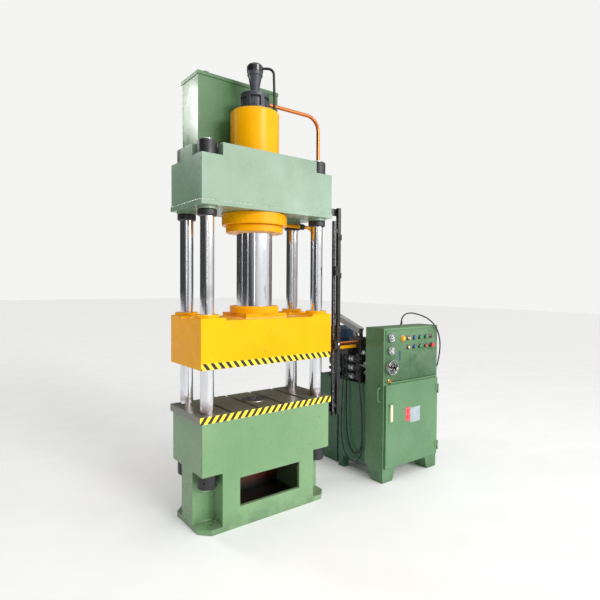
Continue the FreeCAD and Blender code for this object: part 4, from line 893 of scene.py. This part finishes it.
coverBolt = {"across": 0.013, "tall": 0.008}
boltRows = {  # top, inset from the edge, low and high corners, count each way
    "tankCoverBolts": (0.798, 0.018, (1.050, -0.100), (1.755, 0.215), (5, 3)),
    "reservoirBolts": (0.792, 0.018, (1.087, 0.282), (1.553, 0.548), (4, 3)),
    "overheadLidBolts": (3.180, 0.022, (-0.360, 0.190), (0.330, 0.470), (5, 3)),
}
footBolts = {"x": 1.265, "y": 0.410, "reach": 0.104, "narrow": 0.46, "top": 0.806}
blockFeet = {"x": 1.082, "y": -0.025, "top": 1.183}
singleBolts = {  # across flats, direction, places
    "motorFootBolts": (0.016, toTop, [
        (footBolts["x"] + footBolts["reach"] * sx,
         footBolts["y"] + footBolts["reach"] * sy * footBolts["narrow"], footBolts["top"])
        for sx, sy in signPairs]),
    "railBracketBolts": (0.012, toFront, [(0.556, -0.186, 0.680), (0.578, -0.186, 0.680),
                                          (0.556, -0.186, 2.214), (0.580, -0.186, 2.214)]),
    "clampBolts": (0.012, toTop, [(0.560, -0.006, 2.388), (0.560, 0.052, 2.388)]),
    "manifoldBolts": (0.014, toTop, [
        (blockFeet["x"] + x, blockFeet["y"] + y, blockFeet["top"])
        for x, y in ((0.090, 0.020), (0.020, 0.130), (0.090, 0.130))]),
}


def boltsAround(top, inset, low, high, count):
    # bolts spaced evenly along the four sides of a rectangle drawn in by the inset
    xs, ys = (np.linspace(low[k] + inset, high[k] - inset, count[k]) for k in (0, 1))
    spots = [(x, y) for x in xs for y in (ys[0], ys[-1])]
    spots += [(x, y) for y in ys[1:-1] for x in (xs[0], xs[-1])]
    return joined([hexHead(coverBolt["across"], coverBolt["tall"], (x, y, top), toTop)
                   for x, y in spots])


for name, row in boltRows.items():
    addPiece(name, boltsAround(*row), "blackSteel", smooth=False)
for name, (across, way, spots) in singleBolts.items():
    addPiece(name, joined([hexHead(across, across * 0.62, spot, way) for spot in spots]),
             "blackSteel", smooth=False)
print("bolts made")


# gauges: printed dial, ticks, figures and glass

smallGauge = {"across": 0.070, "deep": 0.030, "figures": 5, "hub": 0.0, "face": "dialWhite",
              "ink": "printBlack"}
gauges = {
    "upper": smallGauge | {"z": 1.214},
    "lower": smallGauge | {"z": 1.106},
    "main": {"z": 0.968, "across": 0.120, "deep": 0.046, "figures": 7, "hub": 0.0073,
             "face": "printBlack", "ink": "labelWhite"},
}
gaugePlace = {"x": 1.122, "front": -0.322, "recess": 0.006, "sweep": 270.0, "start": 225.0}
bars = {"0": "abcdef", "1": "bc", "2": "abged", "3": "abgcd", "4": "fgbc", "5": "afgcd",
        "6": "afgedc", "7": "abc", "8": "abcdefg", "9": "abcdfg"}  # the strokes of each figure
barEnds = {"a": ((0, 1), (0.5, 1)), "b": ((0.5, 1), (0.5, 0.5)), "c": ((0.5, 0.5), (0.5, 0)),
           "d": ((0, 0), (0.5, 0)), "e": ((0, 0), (0, 0.5)), "f": ((0, 0.5), (0, 1)),
           "g": ((0, 0.5), (0.5, 0.5))}


def strokeSlabs(ends, width, front, thick):
    # printed strokes: each line between two (x, z) ends widened to a box lying on a y plane
    ends = np.array(ends, float)
    way = ends[:, 1] - ends[:, 0]
    way /= np.linalg.norm(way, axis=1)[:, None]
    side = np.stack([-way[:, 1], way[:, 0]], 1) * width / 2
    base = ends + way[:, None] * np.array([-1, 1])[None, :, None] * width * 0.3
    flat = np.stack([base[:, 0] - side, base[:, 1] - side, base[:, 1] + side, base[:, 0] + side], 1)
    points = np.zeros((len(ends), 2, 4, 3))
    points[..., 0], points[..., 2] = flat[:, None, :, 0], flat[:, None, :, 1]
    points[:, 0, :, 1], points[:, 1, :, 1] = front, front - thick
    cube = [(0, 3, 2, 1), (4, 5, 6, 7), (0, 1, 5, 4), (1, 2, 6, 5), (2, 3, 7, 6), (3, 0, 4, 7)]
    faces = [[v + 8 * k for v in face] for k in range(len(ends)) for face in cube]
    return points.reshape(-1, 3), faces


def figureEnds(text, centre, tall):
    # the stroke ends of a number, each figure on the bars of a seven-stroke box
    ends, left = [], centre[0] - (len(text) * 0.75 - 0.25) * tall / 2
    for k, letter in enumerate(text):
        for bar in bars[letter]:
            ends.append([(left + (k * 0.75 + a) * tall, centre[1] + (b - 0.5) * tall)
                         for a, b in barEnds[bar]])
    return ends


tickFrom = {"figure": 0.76, "half": 0.81, "fine": 0.86}  # a tick's start, as a share of the radius
knob = {"place": (1.122, -0.322, 0.968), "front": -0.322 - 0.0875}


def dressGauge(name, gauge):
    # dial, ticks and figures at even angles round it, pane, and a screw at each side of the rim
    x, z, radius = gaugePlace["x"], gauge["z"], gauge["across"] / 2 - 0.0056
    glassFront, hub = gaugePlace["front"] - gauge["deep"], gauge["hub"]
    face = glassFront + gaugePlace["recess"]
    addPiece(name + "Dial", lathe([(0.0022, 0.0001), (radius, 0.0001), (radius, 0.0006),
                                   (0.0022, 0.0006)], (x, face, z), toFront, 64),
             gauge["face"], smooth=False)
    order = np.arange(8 * (gauge["figures"] - 1) + 1)
    turns = np.radians(gaugePlace["start"] - gaugePlace["sweep"] * order / order[-1])
    way = np.stack([np.cos(turns), np.sin(turns)], 1)
    inner = np.where(order % 8 == 0, tickFrom["figure"],
                     np.where(order % 4 == 0, tickFrom["half"], tickFrom["fine"]))
    spot = np.array([x, z])
    ticks = np.stack([spot + way * inner[:, None] * radius, spot + way * radius * 0.92], 1)
    figures = []
    for k, at in enumerate(way[::8]):
        figures += figureEnds(str(k * 5), spot + at * radius * 0.58, radius * 0.17)
    strokes = ((ticks, 0.016, 0.0001), (ticks[::8], 0.034, 0.00012), (figures, 0.028, 0.0001))
    addPiece(name + "Print", joined([strokeSlabs(ends, radius * wide, face - 0.0006, thick)
                                     for ends, wide, thick in strokes]),
             gauge["ink"], smooth=False)
    pane = [(hub, -0.0013), (radius, -0.0013), (radius, -0.0002)]
    pane += [(hub, -0.0002), (hub, -0.0013)] if hub else [(0, 0.0)]
    addPiece(name + "Glass", lathe(pane, (x, glassFront, z), toFront, 64), "gaugeGlass")
    for label, sign in (("RimScrewA", -1), ("RimScrewB", 1)):
        addPiece(name + label,
                 lathe([(0.002, -0.001), (0.002, 0.0), (0.0016, 0.001), (0, 0.0012)],
                       (x + sign * gauge["across"] / 2 * 0.945, glassFront, z), toFront, 16),
                 "blackSteel")


for name, gauge in gauges.items():
    dressGauge(name, gauge)
addPiece("knobGrip", lathe([(0.0072, 0.0475), (0.0073, 0.0655), (0.0133, 0.0680), (0.0134, 0.0842),
                            (0.0103, 0.0873), (0.0, 0.0874)], knob["place"], toFront, 40),
         "capBlack")
addPiece("knobCap", lathe([(0.0096, -0.0004), (0.0096, 0.0004), (0.0088, 0.0010), (0, 0.0010)],
                          (1.122, knob["front"], 0.968), toFront, 40), "labelWhite")
addPiece("knobStripe", slab((1.1190, knob["front"] - 0.0016, 0.9600),
                            (1.1250, knob["front"] - 0.0008, 0.9760), 0.0004), "labelRed")
print("gauges dressed")


# control panel: sheet, button plates, lamp lens, strip and fixings

panel = {"front": -0.322, "left": 1.066, "right": 1.739, "low": 0.836, "high": 1.273,
         "thick": 0.0005, "ripple": 0.00012, "grid": (60, 90)}
switches = {"first": 1.352, "pitch": 0.077, "count": 5, "rows": (1.197, 1.118), "plate": 0.040,
            "hole": 0.0125, "shine": 0.0185, "shineFrom": 95, "shineTo": 175}
lamp = {"x": 1.279, "flutes": 24, "fluteRing": 0.0208, "fluteBack": 0.0080}
strip = {"x": 1.248, "z": 1.0535, "wide": 0.020, "tall": 0.077}
sheetScrews = [(x, z) for x in (1.078, 1.402, 1.727) for z in (0.848, 1.262)]


def panelSheet():
    # the switch plate, its face lifted by slow waves as thin sheet is, with a folded rim
    rows, columns = panel["grid"]
    us, vs = np.linspace(0, 1, columns), np.linspace(0, 1, rows)
    grid = np.zeros((rows, columns, 3))
    grid[..., 0] = panel["left"] + (panel["right"] - panel["left"]) * us[None]
    grid[..., 2] = panel["low"] + (panel["high"] - panel["low"]) * vs[:, None]
    border = np.minimum(np.minimum(us, 1 - us)[None] * 220,
                        np.minimum(vs, 1 - vs)[:, None] * 160).clip(0, 1)
    ripple = panel["ripple"] * np.sin(us * 17)[None] * np.sin(vs * 11)[:, None]
    grid[..., 1] = panel["front"] - 0.0001 - border * (panel["thick"] + ripple)
    spots = np.arange(rows * columns).reshape(rows, columns)
    rim = np.concatenate([spots[0, :-1], spots[:-1, -1], spots[-1, :0:-1], spots[:0:-1, 0]])
    faces = gridFaces(rows, columns, loopColumns=False)
    return grid.reshape(-1, 3), faces + [rim[::-1].tolist()]


addPiece("panelSheet", panelSheet(), "cabinetGreen")
panelFront = panel["front"] - panel["thick"] - 0.0001


def holedPlate(x, z, half, hole, back, front):
    # a square plate round a hole: rings go from the hole's circle to the square, by angle
    angle = np.linspace(0, 2 * np.pi, 48, endpoint=False)
    way = np.stack([np.cos(angle), np.sin(angle)], 1)
    square = half * 0.985 / np.maximum(np.abs(way).max(axis=1), 0.735)
    outline = ((hole, back), (hole, front), (square - 0.0006, front), (square, front + 0.0005),
               (square, back))
    skin = np.zeros((len(outline), 48, 3))
    for ring, (reach, y) in zip(skin, outline):
        ring[:, 0], ring[:, 2], ring[:, 1] = x + way[:, 0] * reach, z + way[:, 1] * reach, y
    faces = [face[::-1] for face in gridFaces(len(outline), 48, loopRows=True)]
    return skin.reshape(-1, 3), faces


switchSpots = [(switches["first"] + switches["pitch"] * k, z)
               for z in switches["rows"] for k in range(switches["count"])]


def buttonPlates():
    # one holed plate behind each button
    return joined([holedPlate(x, z, switches["plate"] / 2, switches["hole"],
                              panelFront + 0.0001, panelFront - 0.0012) for x, z in switchSpots])


def bezelShines():
    # a thin pale arc on each bezel's upper left, a painted highlight: a round section along part of
    # a circle
    parts, reach = [], switches["shine"]
    angle = np.radians(np.linspace(switches["shineFrom"], switches["shineTo"], 14))
    for x, z in switchSpots:
        path = np.stack([x + reach * np.cos(angle), np.full(14, panelFront - 0.0013),
                         z + reach * np.sin(angle)], 1)
        parts.append(sweep(path, circle(0.0008, 6), up=toFront))
    return joined(parts)


def lampFlutes():
    # short rods evenly round the yellow lens
    z = switches["rows"][0]
    rod = [(0, 0), (0.0012, 0.0002), (0.0012, 0.0130), (0, 0.0136)]
    return joined([lathe(rod, (lamp["x"] + lamp["fluteRing"] * math.cos(t),
                               panel["front"] - lamp["fluteBack"],
                               z + lamp["fluteRing"] * math.sin(t)), toFront, 8)
                   for t in np.linspace(0, 2 * math.pi, lamp["flutes"], endpoint=False)])


def stripPlate():
    # a rounded plate about the strip's middle
    wide, tall = strip["wide"], strip["tall"]
    return slab((strip["x"] - wide / 2, panelFront - 0.0016, strip["z"] - tall / 2),
                (strip["x"] + wide / 2, panelFront + 0.0001, strip["z"] + tall / 2), 0.0008)


addPiece("buttonPlates", buttonPlates(), "printBlack", smooth=False)
addPiece("bezelShines", bezelShines(), "labelWhite")
lensProfile = [(0.0254, 0.0), (0.0256, 0.0062), (0.0216, 0.0083), (0.0206, 0.0162),
               (0.0180, 0.0205), (0.0145, 0.0243), (0.0100, 0.0270), (0.0060, 0.0284),
               (0.0, 0.0286)]
addPiece("yellowLens", lathe(lensProfile, (lamp["x"], panel["front"], switches["rows"][0]),
                             toFront, 48), "lampYellow")
addPiece("lampFlutes", lampFlutes(), "lampYellow")
addPiece("blueStrip", stripPlate(), "stripBlue")
addPiece("panelScrews", joined([hexHead(0.007, 0.004, (x, panelFront, z), toFront)
                                for x, z in sheetScrews]), "cabinetGreen", smooth=False)
print("control panel dressed")


# door: plain labels with rivets, and the seal

doorFace = {"front": -0.343, "thick": 0.0010, "red": (1.306, 1.367, 0.484, 0.604),
            "grey": (1.369, 1.500, 0.466, 0.594), "rivetIn": 0.004}
seal = {"x": (1.092, 1.712), "y": -0.3245, "z": (0.150, 0.786), "thick": 0.0022}


def labelPlate(edges):
    # a thin plate between its left, right, low and high edges
    left, right, low, high = edges
    return slab((left, doorFace["front"] - doorFace["thick"], low),
                (right, doorFace["front"] + 0.0001, high), 0.0004)


def plateLines(edges, count, margin):
    # blank entry lines and a frame, as a plain rating plate has, with no words
    left, right, low, high = edges
    y = doorFace["front"] - doorFace["thick"]
    rows = np.linspace(low + margin, high - margin, count)
    ends = [[(left + margin, z), (right - margin, z)] for z in rows]
    ends += [[(x, low + margin), (x, high - margin)] for x in (left + margin, right - margin)]
    return strokeSlabs(ends, 0.0011, y, 0.0001)


def labelRivets():
    # a domed rivet near each corner of both labels
    inset, y = doorFace["rivetIn"], doorFace["front"] - doorFace["thick"] + 0.0002
    spots = [(x, y, z) for left, right, low, high in (doorFace["red"], doorFace["grey"])
             for x in (left + inset, right - inset) for z in (low + inset, high - inset)]
    dome = [(0.0021, 0), (0.0020, 0.0006), (0.0013, 0.0012), (0, 0.0014)]
    return joined([lathe(dome, spot, toFront, 14) for spot in spots])


def doorSeal():
    # two level beads and two upright ones behind the door's edges
    (left, right), y, (low, high) = seal["x"], seal["y"], seal["z"]
    level = [bead([(left, y, z), (right, y, z)], seal["thick"], seed=11) for z in (low, high)]
    return joined(level + [post(x, y, low, high, seal["thick"], 12) for x in (left, right)])


addPiece("redLabel", labelPlate(doorFace["red"]), "labelRed", "cabinet_door")
addPiece("greyLabel", labelPlate(doorFace["grey"]), "labelGrey", "cabinet_door")
addPiece("redLabelLines", plateLines(doorFace["red"], 3, 0.008), "labelWhite", "cabinet_door",
         False)
addPiece("greyLabelLines", plateLines(doorFace["grey"], 7, 0.009), "printBlack", "cabinet_door",
         False)
addPiece("labelRivets", labelRivets(), "brightSteel", "cabinet_door")
addPiece("doorSeal", doorSeal(), "hoseRubber", "cabinet_door")
print("door labelled")


# lead entries: ribbed, tapered sleeves where each lead leaves a housing

entries = {"powerStart": ("powerLead", 0, 0.034), "powerEnd": ("powerLead", -1, 0.022),
           "loopStart": ("loopLead", 0, 0.034), "loopEnd": ("loopLead", -1, 0.022),
           "topStart": ("topLead", 0, 0.026), "topEnd": ("topLead", -1, 0.022)}


def taperedSleeve(lead, end, length):
    # turned about the lead's first stretch: a collar, then nine ribs, each smaller than the last
    radius, points = leads[lead]["thick"] / 2, np.array(leads[lead]["points"])
    tip, step = (points[0], points[1]) if end == 0 else (points[-1], points[-2])
    sleeve = [(radius * 1.02, 0), (radius * 1.75, 0), (radius * 1.75, 0.004)]
    for k, far in enumerate(np.linspace(0.006, length, 9)):
        share = 1.68 - 0.55 * k / 8
        sleeve += [(radius * share, far - 0.0014), (radius * (share - 0.13), far)]
    sleeve.append((radius * 1.02, length + 0.0005))
    return lathe(sleeve, tip, (step - tip) / np.linalg.norm(step - tip), 24)


for name, entry in entries.items():
    addPiece(name + "Sleeve", taperedSleeve(*entry), "hoseRubber")
print("lead sleeves made")


# valve stack: coil nuts, hand overrides, coil plates, block bolts and plugs

stack = {"x": 1.059, "z": (0.822, 0.900, 0.978), "half": 0.026, "front": -0.038, "back": 0.138,
         "plateX": 0.0238, "plateY": (0.022, 0.078)}
valveBlock = {"right": 1.192, "front": -0.025, "bolt": (0.013, 0.010), "plug": (0.024, 0.012),
              "plugs": ((1.137, 0.870), (1.137, 0.950), (1.112, 1.05), (1.160, 1.05))}


def coilEnds():
    # on both ends of each coil: a band, a nut, and the round hand override in its middle
    parts = []
    for low in stack["z"]:
        for y, way in ((stack["front"], toFront), (stack["back"], (0, 1, 0))):
            spot = (stack["x"], y, low + stack["half"])
            parts += [lathe([(0.0222, -0.030), (0.0232, -0.028), (0.0232, -0.006),
                             (0.0222, -0.004)], spot, way, 40),
                      hexHead(0.022, 0.010, spot, way),
                      lathe([(0.0045, 0.010), (0.0045, 0.016), (0.003, 0.018), (0, 0.018)],
                            spot, way, 16)]
    return joined(parts)


def valvePlates():
    # a thin plate on the left side of each coil
    near, far = stack["plateY"]
    return joined([slab((stack["x"] - stack["plateX"], near, z + 0.006),
                        (stack["x"] - stack["plateX"] + 0.0008, far, z + 0.046), 0.0003, "x")
                   for z in stack["z"]])


def blockBolts():
    # two columns of three on the right face, and four at the corners of the front
    spots = [((valveBlock["right"], y, z), toRight) for y in (-0.008, 0.106)
             for z in (0.83, 0.98, 1.15)]
    spots += [((x, valveBlock["front"], z), toFront) for x in (1.096, 1.178)
              for z in (0.815, 1.168)]
    return joined([hexHead(*valveBlock["bolt"], spot, way) for spot, way in spots])


def blockPlugs():
    # screwed plugs: a hexagon with a turned collar and stem
    spots = [(x, valveBlock["front"], z) for x, z in valveBlock["plugs"]]
    stem = [(0.0165, 0), (0.0165, 0.004), (0.012, 0.006), (0.012, 0.02), (0, 0.022)]
    return joined([hexHead(*valveBlock["plug"], spot, toFront) for spot in spots]
                  + [lathe(stem, spot, toFront, 28) for spot in spots])


addPiece("coilNuts", coilEnds(), "blackSteel")
addPiece("valvePlates", valvePlates(), "brightSteel")
addPiece("blockBolts", blockBolts(), "blackSteel", smooth=False)
addPiece("blockPlugs", blockPlugs(), "brightSteel")
print("valve stack dressed")


# motor: fan slots as dark rods of painted shade, band, plain plate and lifting eye

motor = {"x": 1.265, "y": 0.410, "radius": 0.130, "top": 1.250, "band": 0.842,
         "slots": ((0.045, 14), (0.075, 22), (0.103, 30)), "slotHalf": 0.010, "slotThick": 0.0028}
eye = {"out": 0.016, "z": 1.146, "radius": 0.016, "thick": 0.004}


def fanSlotShades():
    # painted shade in the fan slots: rings of short dark rods, each pointing away from the motor's
    # middle
    parts = []
    for ring, count in motor["slots"]:
        for t in np.linspace(0, 2 * math.pi, count, endpoint=False):
            centre = np.array([motor["x"] + ring * math.cos(t), motor["y"] + ring * math.sin(t),
                               motor["top"]])
            reach = np.array([math.cos(t), math.sin(t), 0]) * motor["slotHalf"]
            path = np.linspace(centre - reach, centre + reach, 5) + (0, 0, 0.0004)
            parts.append(sweep(path, circle(motor["slotThick"], 8)))
    return joined(parts)


def liftingEye():
    # a round section carried round a circle in the upright plane, on a turned foot
    t = np.linspace(0, 2 * math.pi, 40, endpoint=False)
    centre = np.array([motor["x"], motor["y"] - motor["radius"] - eye["out"], eye["z"]])
    ring = centre + np.stack([np.zeros(40), eye["radius"] * np.cos(t),
                              eye["radius"] * np.sin(t)], 1)
    foot = [(0.011, -0.022), (0.011, -0.018), (0.007, -0.016), (0, -0.016)]
    return joined([sweep(ring, circle(eye["thick"], 10), True, toRight),
                   lathe(foot, centre, toTop, 20)])


addPiece("fanSlotShades", fanSlotShades(), "printBlack")
addPiece("motorBand", lathe([(0.1175, 0.0), (0.1312, 0.0), (0.1312, 0.012), (0.1175, 0.012)],
                            (motor["x"], motor["y"], motor["band"]), toTop, 64), "motorBlue")
addPiece("motorPlate", slab((1.215, 0.2320, 1.018), (1.315, 0.2335, 1.066), 0.0005), "labelGrey")
addPiece("liftingEye", liftingEye(), "brightSteel")
print("motor dressed")


# rails: scale ticks, dogs and a mark

rails = {"x": 0.650, "scaleX": 0.602, "y": -0.200, "half": 0.014, "scaleHalf": 0.010,
         "low": 0.66, "high": 2.10, "step": 0.010, "dogs": (0.98, 1.30, 1.72, 2.02),
         "mark": (1.172, 1.190)}


def scaleTicks():
    # marks at even steps up the front of the thin rail, longer at every fifth and tenth
    heights = np.arange(rails["low"], rails["high"], rails["step"])
    order = np.arange(len(heights))
    reach = np.where(order % 10 == 0, 0.014, np.where(order % 5 == 0, 0.010, 0.006))
    left = rails["scaleX"] - rails["scaleHalf"] + 0.002
    ends = np.stack([np.stack([np.full(len(heights), left), heights], 1),
                     np.stack([left + reach, heights], 1)], 1)
    return strokeSlabs(ends, 0.0012, rails["y"] - rails["scaleHalf"], 0.0002)


def railDogs():
    # a rounded plate with a bolt at each height
    parts, x, face = [], rails["x"], rails["y"] - rails["half"]
    for z in rails["dogs"]:
        parts.append(slab((x - 0.019, face - 0.006, z - 0.022),
                          (x + 0.019, face + 0.0002, z + 0.022), 0.0015))
        parts.append(hexHead(0.010, 0.006, (x, face - 0.006, z), toFront))
    return joined(parts)


def railMark():
    # a small pale plate on the front of the thick rail
    x, face, (low, high) = rails["x"], rails["y"] - rails["half"], rails["mark"]
    return slab((x - 0.008, face - 0.0012, low), (x + 0.008, face + 0.0001, high), 0.0005)


addPiece("scaleTicks", scaleTicks(), "labelWhite", smooth=False)
addPiece("railDogs", railDogs(), "blackSteel")
addPiece("railMark", railMark(), "labelWhite")
print("rails marked")


# overhead tank: sight tube and its fittings, on the right face

sight = {"x": 0.330, "y": 0.300, "low": 2.72, "high": 3.04, "out": 0.026, "outer": 0.0075,
         "inner": 0.0060, "guard": 0.013, "bolt": 0.034}


def sightFittings():
    # a turned fitting and a nut at both ends, and a guard strip on both sides of the tube
    parts, x, y = [], sight["x"], sight["y"]
    fitting = [(0.014, -0.0005), (0.014, 0.006), (0.009, 0.008), (0.009, 0.036),
               (0.004, 0.038), (0, 0.038)]
    for z in (sight["low"], sight["high"]):
        parts.append(lathe(fitting, (x, y, z), toRight, 24))
        parts.append(hexHead(0.018, 0.010, (x + sight["bolt"], y, z), toRight))
    for sign in (-1, 1):
        side = y + sign * sight["guard"]
        parts.append(slab((x + 0.016, side - 0.001, sight["low"] + 0.01),
                          (x + 0.034, side + 0.001, sight["high"] - 0.01), 0.0006, "x"))
    return joined(parts)


def sightTube():
    # a tube between the fittings: outer and inner walls joined at both ends
    top, outer, inner = sight["high"] - sight["low"] - 0.004, sight["outer"], sight["inner"]
    wall = [(inner, 0.004), (outer, 0.004), (outer, top), (inner, top), (inner, 0.004)]
    return lathe(wall, (sight["x"] + sight["out"], sight["y"], sight["low"]), toTop, 24)


addPiece("sightFittings", sightFittings(), "brightSteel")
addPiece("sightTube", sightTube(), "gaugeGlass")
print("sight tube made")


# cabinet: back louvres and corner seams

louvres = {"x": (1.16, 1.32, 1.48, 1.64), "z": np.linspace(1.00, 1.20, 9), "wide": 0.105,
           "y": -0.117, "deep": 0.011, "tall": 0.014}
cornerSeam = {"x": (1.0512, 1.7538), "y": -0.3205, "z": (0.112, 1.288), "lid": 1.2885,
              "thick": 0.0016}


def louvreHoods():
    # each hood: a quarter-round section carried across its width and tapered at both ends
    parts = []
    bend = np.linspace(0, np.pi / 2, 7)
    hood = np.concatenate([np.stack([louvres["deep"] * np.sin(bend),
                                     louvres["tall"] * np.cos(bend)], 1), [(0.0, 0.0)]])
    across = np.linspace(-1, 1, 21)
    narrow = np.clip((1 - np.abs(across)) * 7, 0.05, 1) ** 0.5
    for x in louvres["x"]:
        for z in louvres["z"]:
            skin = np.zeros((21, len(hood), 3))
            skin[..., 0] = (x + across * louvres["wide"] / 2)[:, None]
            skin[..., 1] = louvres["y"] - 0.0002 + hood[None, :, 0] * narrow[:, None]
            skin[..., 2] = z + hood[None, :, 1] * narrow[:, None]
            parts.append(ringStack(skin))
    return joined(parts)


def cabinetSeams():
    # beads up both front corners and along the roof's front edge
    (left, right), y, (low, high) = cornerSeam["x"], cornerSeam["y"], cornerSeam["z"]
    lid, thick = cornerSeam["lid"], cornerSeam["thick"]
    return joined([post(x, y, low, high, thick, 21) for x in (left, right)]
                  + [bead([(left, y, lid), (right, y, lid)], thick, seed=22)])


addPiece("louvreHoods", louvreHoods(), "cabinetGreen")
addPiece("cabinetSeams", cabinetSeams(), "cabinetGreen")
print("cabinet louvres made")


# floor and end

def layFloor():
    # one wide square at height zero
    half = floorLook["side"] / 2
    x, y = floorLook["middle"]
    data = bpy.data.meshes.new("floor")
    data.from_pydata([(x - half, y - half, 0), (x + half, y - half, 0), (x + half, y + half, 0),
                      (x - half, y + half, 0)], [], [(0, 1, 2, 3)])
    thing = placed("floor", data)
    r = Recipe("floorSkin")
    tint = r.mix(r.noise(3.0, 0.3, 0.7), floorLook["tint"], "#f8f8f7")
    data.materials.append(r.finish(tint, 0.75))


layFloor()
